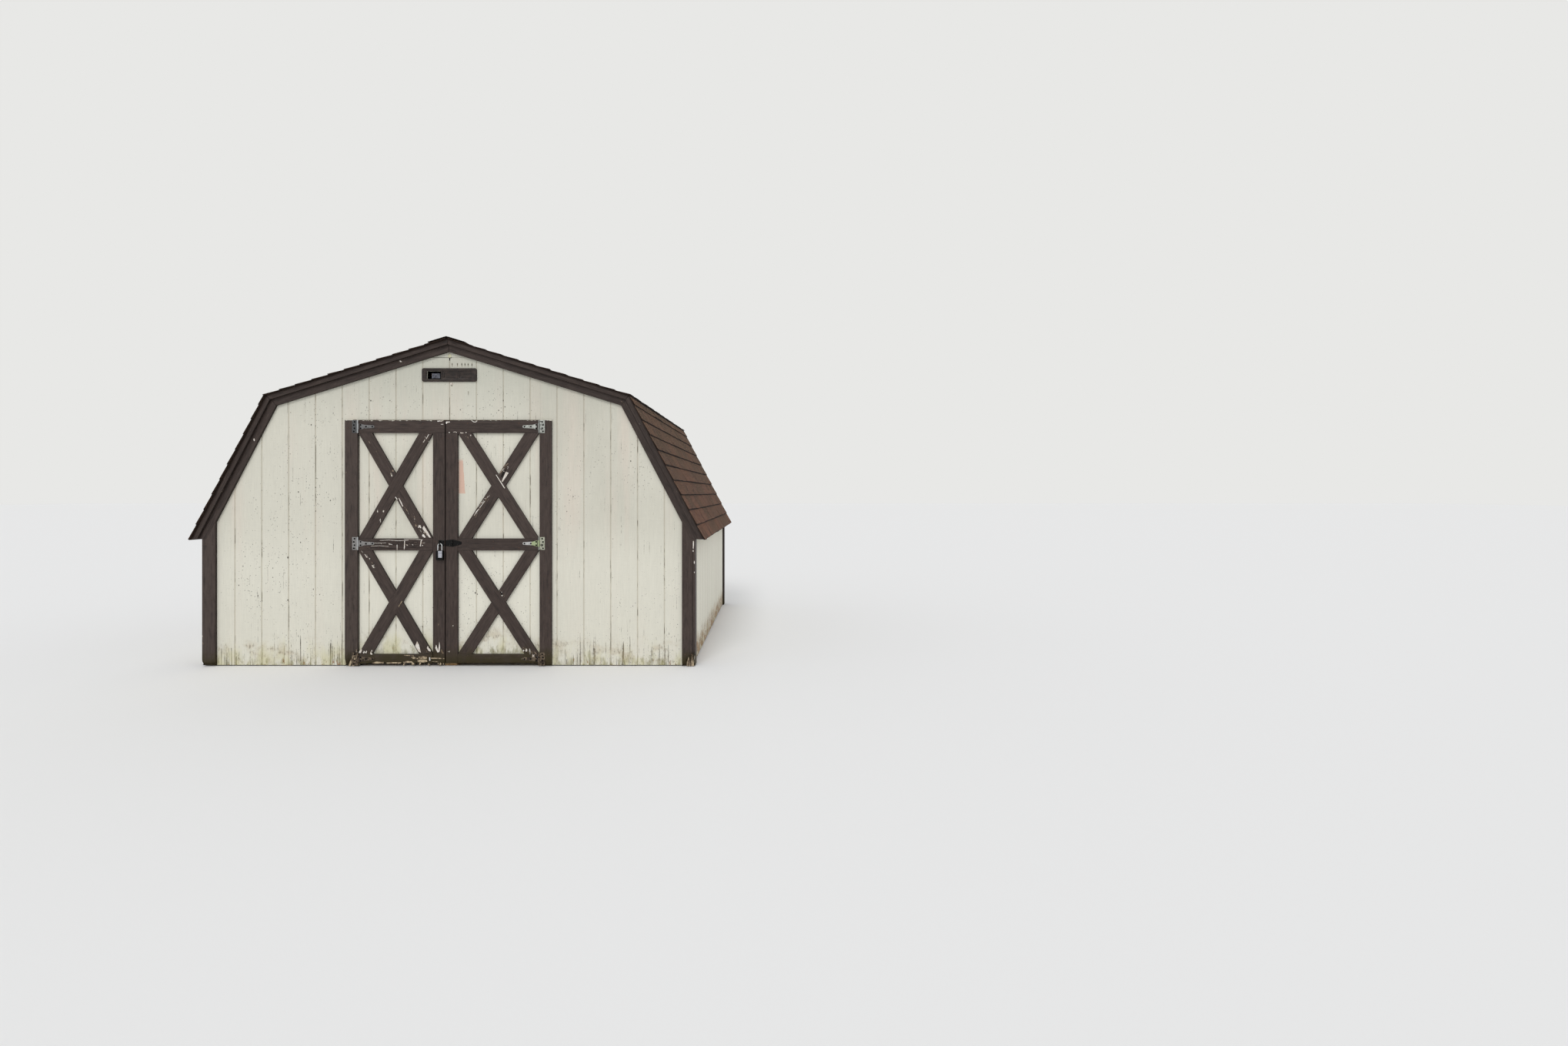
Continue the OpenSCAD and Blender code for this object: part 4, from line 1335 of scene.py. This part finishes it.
def sidingTop(x):
    # where the siding goes in under the rake boards
    x = abs(x)
    if x < roof["knee"][0]:
        low, high, drop = roof["knee"], roof["ridge"], 0.12
    else:
        low, high, drop = roof["eave"], roof["knee"], 0.20
    return high[1] - (high[1] - low[1]) * (x - high[0]) / (low[0] - high[0]) - drop


def sidingNails(openings):
    # up the studs, leaving out the openings
    jitter = random.Random(71)
    spots = []
    for i in range(-2, 3):
        x = i * nail["studPitch"] + nail["studShift"]
        z = nail["sidingFoot"]
        while z < sidingTop(x):
            if not any(abs(x) < halfWidth and z0 < z < z1 for halfWidth, z0, z1 in openings):
                spots.append((x + jitter.uniform(-0.005, 0.005), nail["sidingY"], z))
            z += nail["sidingStep"] + jitter.uniform(-0.02, 0.02)
    return spots


frontOpenings = [(0.80, 0.0, 1.90), (0.23, 2.12, 2.28)]
nailModel = modelHead(8, nail["radius"], nail["height"], 0.6)
scatter(nailModel, sidingNails(frontOpenings), "front_siding_nails", "root", "siding", creamNail, chance)
backNail = copyTo(nailModel, halfTurn)
backSpots = [(-x, -y, z) for x, y, z in sidingNails(frontOpenings[1:])]
scatter(backNail, backSpots, "back_siding_nails", "root", "siding", creamNail, chance)

# nails rusting through the paint above the vent
rustySpots = [(x, nail["sidingY"], z) for x, z in (
    (0.019, 2.283), (0.058, 2.284), (0.0915, 2.281), (0.1156, 2.280), (0.1397, 2.281), (0.1686, 2.279),
)]
scatter(nailModel, rustySpots, "gable_rusty_nails", "root", "steel", metals["darkScrews"], chance)

trimNails = []
for x, top in ((-0.735, 1.80), (0.731, 1.80), (-1.810, 0.92), (1.810, 0.92)):
    trimNails += pairsAlong(x, 0.09, x, top, nail["trimStep"])
scatter(nailModel, trimNails, "jamb_and_corner_nails", "root", "trim", brownNail, chance)


def leafNails(hingeX, stileX):
    # along the stile and along the rails
    spots = pairsAlong(stileX, 0.16, stileX, 1.72, nail["trimStep"])
    inwards = 1 if stileX > hingeX else -1
    for z in nail["rails"]:
        spots += pairsAlong(hingeX + inwards * 0.15, z, stileX - inwards * 0.12, z, nail["railStep"])
    return spots


scatter(nailModel, leafNails(-0.681, -0.0735), "left_leaf_nails", "left_leaf", "trim", brownNail, chance)
scatter(nailModel, leafNails(0.681, 0.0235), "right_leaf_nails", "right_leaf", "trim", brownNail, chance)
print("nails driven")

# caulk at the peak and a plug in the siding under the vent
blobs = {
    "peak_caulk": {"place": (0.000, -1.5362, 2.346), "size": (0.013, 0.0030, 0.014), "material": oldCaulk},
    "siding_plug": {"place": (0.014, -1.5365, 2.134), "size": (0.0115, 0.0060, 0.0095), "material": paleChip},
}
lumps = bpy.data.textures.new("lumps", "CLOUDS")
lumps.noise_scale = 0.008
for name, blob in blobs.items():
    bpy.ops.mesh.primitive_uv_sphere_add(segments=20, ring_count=12, radius=1, location=blob["place"])
    dab = bpy.context.object
    dab.scale = blob["size"]
    settle(dab)
    applyModifier(dab, "DISPLACE", texture=lumps, texture_coords="LOCAL", mid_level=0.5, strength=0.004)
    smooth(dab, 60)
    hand(dab, name, "root", "siding", blob["material"])

# loose paint
flake = {
    "columns": 3,
    "rows": 3,
    "thick": 0.0005,
    "curl": 0.30,
    "stray": 0.006,
    "turnStray": 35,
    "sizes": (0.5, 1.3),
}


def modelFlake():
    # a curled chip, a unit long and half as wide, its fixed edge at z = 0
    bpy.ops.mesh.primitive_grid_add(x_subdivisions=flake["columns"], y_subdivisions=flake["rows"], size=1,
                                    location=(0, 0.5, 0))
    chip = bpy.context.object
    settle(chip)
    for vertex in chip.data.vertices:
        wide, rise = vertex.co.xy
        vertex.co = (wide * 0.5 * (1 - 0.35 * rise * rise), -flake["curl"] * rise * rise, rise)
    return chip


def flakesOn(name, body, patches, material, seed):
    # patches: from x, z to x, z, how many, chip length, and the turn of the chips in degrees
    jitter = random.Random(seed)
    stray, turnStray = flake["stray"], flake["turnStray"]
    model = modelFlake()
    made = []
    for x0, z0, x1, z1, count, size, turn in patches:
        for i in range(count):
            share = jitter.random()
            x = x0 + (x1 - x0) * share + jitter.uniform(-stray, stray)
            z = z0 + (z1 - z0) * share + jitter.uniform(-stray, stray)
            place = Matrix.Translation((x, nail["trimY"] - 0.0002, z))
            spin = Matrix.Rotation(math.radians(turn + jitter.uniform(-turnStray, turnStray)), 4, "Y")
            made.append(copyTo(model, place @ spin @ Matrix.Scale(size * jitter.uniform(*flake["sizes"]), 4)))
    bpy.data.objects.remove(model)
    piece = joinAll(made)
    applyModifier(piece, "SOLIDIFY", thickness=flake["thick"], offset=0)
    hand(piece, name, body, "trim", material)


flakesOn("left_leaf_chips", "left_leaf", (
    (-0.230, 1.050, -0.150, 0.980, 5, 0.011, 35),
    (-0.600, 0.940, -0.160, 0.905, 9, 0.011, 90),
    (-0.640, 0.860, -0.560, 0.760, 4, 0.010, 35),
    (-0.180, 1.730, -0.150, 1.690, 2, 0.009, -35),
    (-0.570, 0.115, -0.680, 0.100, 4, 0.010, 20),
), paleChip, 91)
flakesOn("left_leaf_splinters", "left_leaf", (
    (-0.560, 0.030, -0.035, 0.028, 14, 0.016, 175),
), splinterWood, 93)
flakesOn("right_leaf_chips", "right_leaf", (
    (0.400, 1.440, 0.450, 1.500, 3, 0.010, -35),
    (0.205, 1.160, 0.290, 1.280, 4, 0.009, -35),
    (0.570, 0.125, 0.670, 0.050, 9, 0.012, 30),
    (0.390, 0.570, 0.415, 0.520, 2, 0.009, 35),
), paleChip, 92)

splinter = {"thick": 0.0014, "off": 0.0004, "easing": 0.0003}


def sliver(outline, lean, face):
    # a flat sliver of paint or wood, leaning out towards its tip, its outline in millimetres as x, z, x, z
    points = [(x / 1000, z / 1000) for x, z in zip(outline[::2], outline[1::2])]
    bpy.ops.mesh.primitive_circle_add(vertices=len(points), radius=1, fill_type="NGON")
    piece = bpy.context.object
    low = min(z for x, z in points)
    for vertex, (x, z) in zip(piece.data.vertices, points):
        vertex.co = (x, face - splinter["off"] - lean * (z - low), z)
    applyModifier(piece, "SOLIDIFY", thickness=splinter["thick"], offset=0)
    faceOutwards(piece)
    ease(piece, splinter["easing"], 1)
    return piece


def slivers(name, body, outlines, lean, material, face=nail["trimY"]):
    piece = joinAll([sliver(outline, lean, face) for outline in outlines])
    hand(piece, name, body, "trim", material)


slivers("left_leaf_white_slivers", "left_leaf", (
    (-251, 156, -236, 191, -222, 165, -208, 105, -226, 112, -240, 135),
    (-163, 140, -155, 157, -148, 140, -134, 125, -135, 113, -150, 118),
    (-68, 188, -63, 150, -66, 118, -74, 105, -78, 118, -73, 150),
    (-92, 166, -86, 145, -74, 112, -82, 104, -94, 128, -100, 140),
    (-678, 104, -672, 118, -656, 133, -652, 122, -662, 102),
    (-645, 100, -638, 121, -634, 112, -638, 98),
    (-627, 102, -619, 121, -614, 114, -620, 101),
    (-592, 94, -586, 116, -581, 104, -572, 93, -580, 89),
    (-390, 918, -385, 919, -386, 880, -390, 878),
    (-333, 949, -328, 948, -329, 905, -333, 882, -337, 884),
    (-207, 956, -200, 957, -205, 930, -212, 907, -216, 909, -211, 935),
    (-146, 69, -138, 70, -137, 44, -145, 43),
    (-184, 1062, -176, 1049, -155, 1014, -133, 973, -145, 972, -171, 1006, -196, 1041, -192, 1051),
    (-225, 1068, -215, 1064, -205, 1047, -211, 1043, -223, 1055),
    (-194, 999, -186, 997, -171, 974, -182, 972, -200, 985),
    (-404, 1279, -398, 1279, -384, 1262, -390, 1258),
    (-376, 1272, -370, 1268, -357, 1245, -341, 1208, -348, 1206, -364, 1240),
    (-58, 1829, -39, 1829, -40, 1825, -56, 1825),
    (-87, 1852, -70, 1855, -46, 1853, -50, 1847, -66, 1849, -80, 1846),
    (-150, 1752, -146, 1750, -166, 1716, -170, 1718),
    (-180, 1712, -176, 1710, -188, 1690, -192, 1692),
    (-634, 848, -627, 846, -612, 823, -618, 821),
    (-520, 951, -450, 956, -380, 950, -301, 954, -302, 951, -380, 947, -450, 953, -518, 949),
    (-336, 962, -250, 962, -193, 957, -195, 954, -250, 959, -335, 960),
    (-600, 934, -540, 931, -470, 934, -472, 932, -540, 929, -598, 932),
    (-585, 909, -520, 912, -452, 907, -454, 905, -520, 910, -583, 907),
), 0.03, paleChip)
slivers("left_leaf_pale_lines", "left_leaf", (
    (-336, 88, -300, 87, -262, 83, -264, 78, -300, 81, -334, 83),
    (-131, 38, -100, 40, -72, 37, -100, 34),
    (-134, 66, -80, 66, -31, 63, -33, 57, -80, 58, -132, 59),
    (-380, 452, -352, 494, -348, 492, -375, 450),
    (-344, 33, -320, 42, -280, 40, -268, 32, -290, 28, -330, 27),
    (-285, 73, -255, 72, -226, 62, -240, 54, -270, 58),
), 0.02, splinterWood)
slivers("left_leaf_raw_wood", "left_leaf", (
    (-226, 74, -190, 77, -163, 73, -165, 58, -200, 56, -222, 60),
    (-238, 50, -205, 53, -162, 50, -160, 36, -190, 31, -230, 34),
    (-575, 30, -540, 38, -500, 34, -498, 24, -530, 23, -570, 23),
    (-469, 29, -430, 33, -356, 32, -360, 24, -420, 23, -465, 23),
    (-54, 130, -46, 118, -36, 100, -46, 96, -55, 110),
), 0.02, rawSplinter)
slivers("right_leaf_white_slivers", "right_leaf", (
    (357, 1446, 361, 1447, 395, 1396, 426, 1346, 421, 1343, 390, 1391),
    (434, 1470, 454, 1460, 429, 1422, 408, 1393, 400, 1396, 419, 1437, 426, 1453),
    (191, 1136, 197, 1139, 212, 1163, 233, 1190, 227, 1190, 209, 1170),
    (231, 1195, 237, 1196, 257, 1222, 276, 1247, 271, 1247, 252, 1222),
    (-20.5, 1847, 11, 1847, 9, 1841, -8, 1838, -12, 1831, -20.5, 1832),
    (168, 1855, 176, 1852, 190, 1842, 205, 1841, 219, 1853, 214, 1855, 203, 1846, 191, 1847, 180, 1855),
    (0, 1768, 11, 1768, 11, 1763, 2, 1762),
    (35, 1769, 50, 1772, 64, 1767, 62, 1764, 50, 1768, 37, 1766),
    (87, 1766, 100, 1765, 116, 1763, 110, 1759, 98, 1758, 90, 1760),
    (125, 1767, 139, 1767, 136, 1762, 127, 1762),
    (163, 1749, 171, 1747, 170, 1738, 165, 1740),
    (579, 120, 586, 136, 594, 130, 588, 112),
    (610, 138, 616, 126, 618, 104, 612, 108),
    (560, 118, 566, 128, 572, 120, 566, 112),
), 0.02, paleChip)
slivers("right_leaf_dark_splits", "right_leaf", (
    (429, 1486, 436, 1498, 434, 1483, 419, 1453, 403, 1427, 396, 1432, 408, 1463),
    (388, 560, 396, 563, 408, 548, 412, 534, 400, 540),
), 0.0, openSplit)
slivers("left_leaf_dark_splits", "left_leaf", [
    (x0, z, (x0 + x1) / 2, z + 1.6 + bow, x1, z, (x0 + x1) / 2, z - 1.6 + bow)
    for x0, x1, z, bow in (
        (-615, -430, 943, 3), (-500, -210, 939, -3), (-600, -330, 921, 2), (-440, -185, 924, 3),
        (-620, -475, 897, -2), (-560, -300, 888, 3), (-350, -190, 899, -2), (-380, -170, 909, 2),
    )
], 0.0, openSplit)
slivers("jamb_foot_splinters", "root", (
    (-756, 4, -738, 50, -720, 83, -714, 74, -728, 36, -740, 4),
    (-726, 4, -712, 60, -705, 90, -700, 70, -706, 30, -712, 4),
    (-694, 34, -693, 80, -689, 99, -687, 70, -688, 34),
), 0.05, splinterWood)
slivers("corner_foot_splinters", "root", (
    (1792, 4, 1800, 40, 1812, 72, 1822, 40, 1828, 4),
    (1824, 4, 1830, 60, 1838, 94, 1848, 50, 1852, 4),
), 0.05, splinterWood)
slivers("corner_edge_chips", "root", (
    (1844, 942, 1848, 949, 1852, 940, 1851, 905, 1847, 884, 1843, 892),
    (1841, 878, 1850, 876, 1847, 864, 1843, 866),
    (1852, 796, 1856, 797, 1858, 785, 1856, 774, 1851, 778),
    (1852, 716, 1857, 714, 1856, 704, 1853, 706),
), 0.02, paleChip)
slivers("corner_edge_splits", "root", (
    (1840, 930, 1843, 930, 1842.5, 600, 1844, 100, 1841, 100, 1839.5, 600),
), 0.0, openSplit)
slivers("peak_cracks", "root", (
    (-9, 2334, 15, 2334, 15, 2330, 4, 2329, 3, 2311, -1, 2311, -3, 2329, -9, 2331),
    (-125, 2332.5, -60, 2333.5, -12, 2333, -12, 2331.5, -60, 2332, -125, 2331),
), 0.0, openSplit, nail["sidingY"])
# rust runs under the nails and below the vent, and a painted shadow under the plug
slivers("rust_runs_and_shadow", "root", [
    (x - 3, 2291, x + 3, 2291, x + 2.6, 2276, x + 0.8, 2264, x - 1.6, 2270)
    for x in (spot[0] * 1000 for spot in rustySpots)
] + [
    (140, 2078, 144, 2078, 143.5, 2060, 141, 2045),
    # a painted shadow under the plug
    (8, 2126, 16, 2122, 24, 2124, 20, 2117, 12, 2118),
], 0.0, rustRunAndShadow, nail["sidingY"])
slivers("rake_chips", "root", (
    (-1472, 1714, -1466, 1722, -1460, 1708, -1467, 1698),
    (-372, 2306, -362, 2309, -352, 2298, -364, 2296),
), 0.02, paleChip)
print("chips and splinters placed")

for model in (screw, haspScrew, nailModel, backNail):
    bpy.data.objects.remove(model)
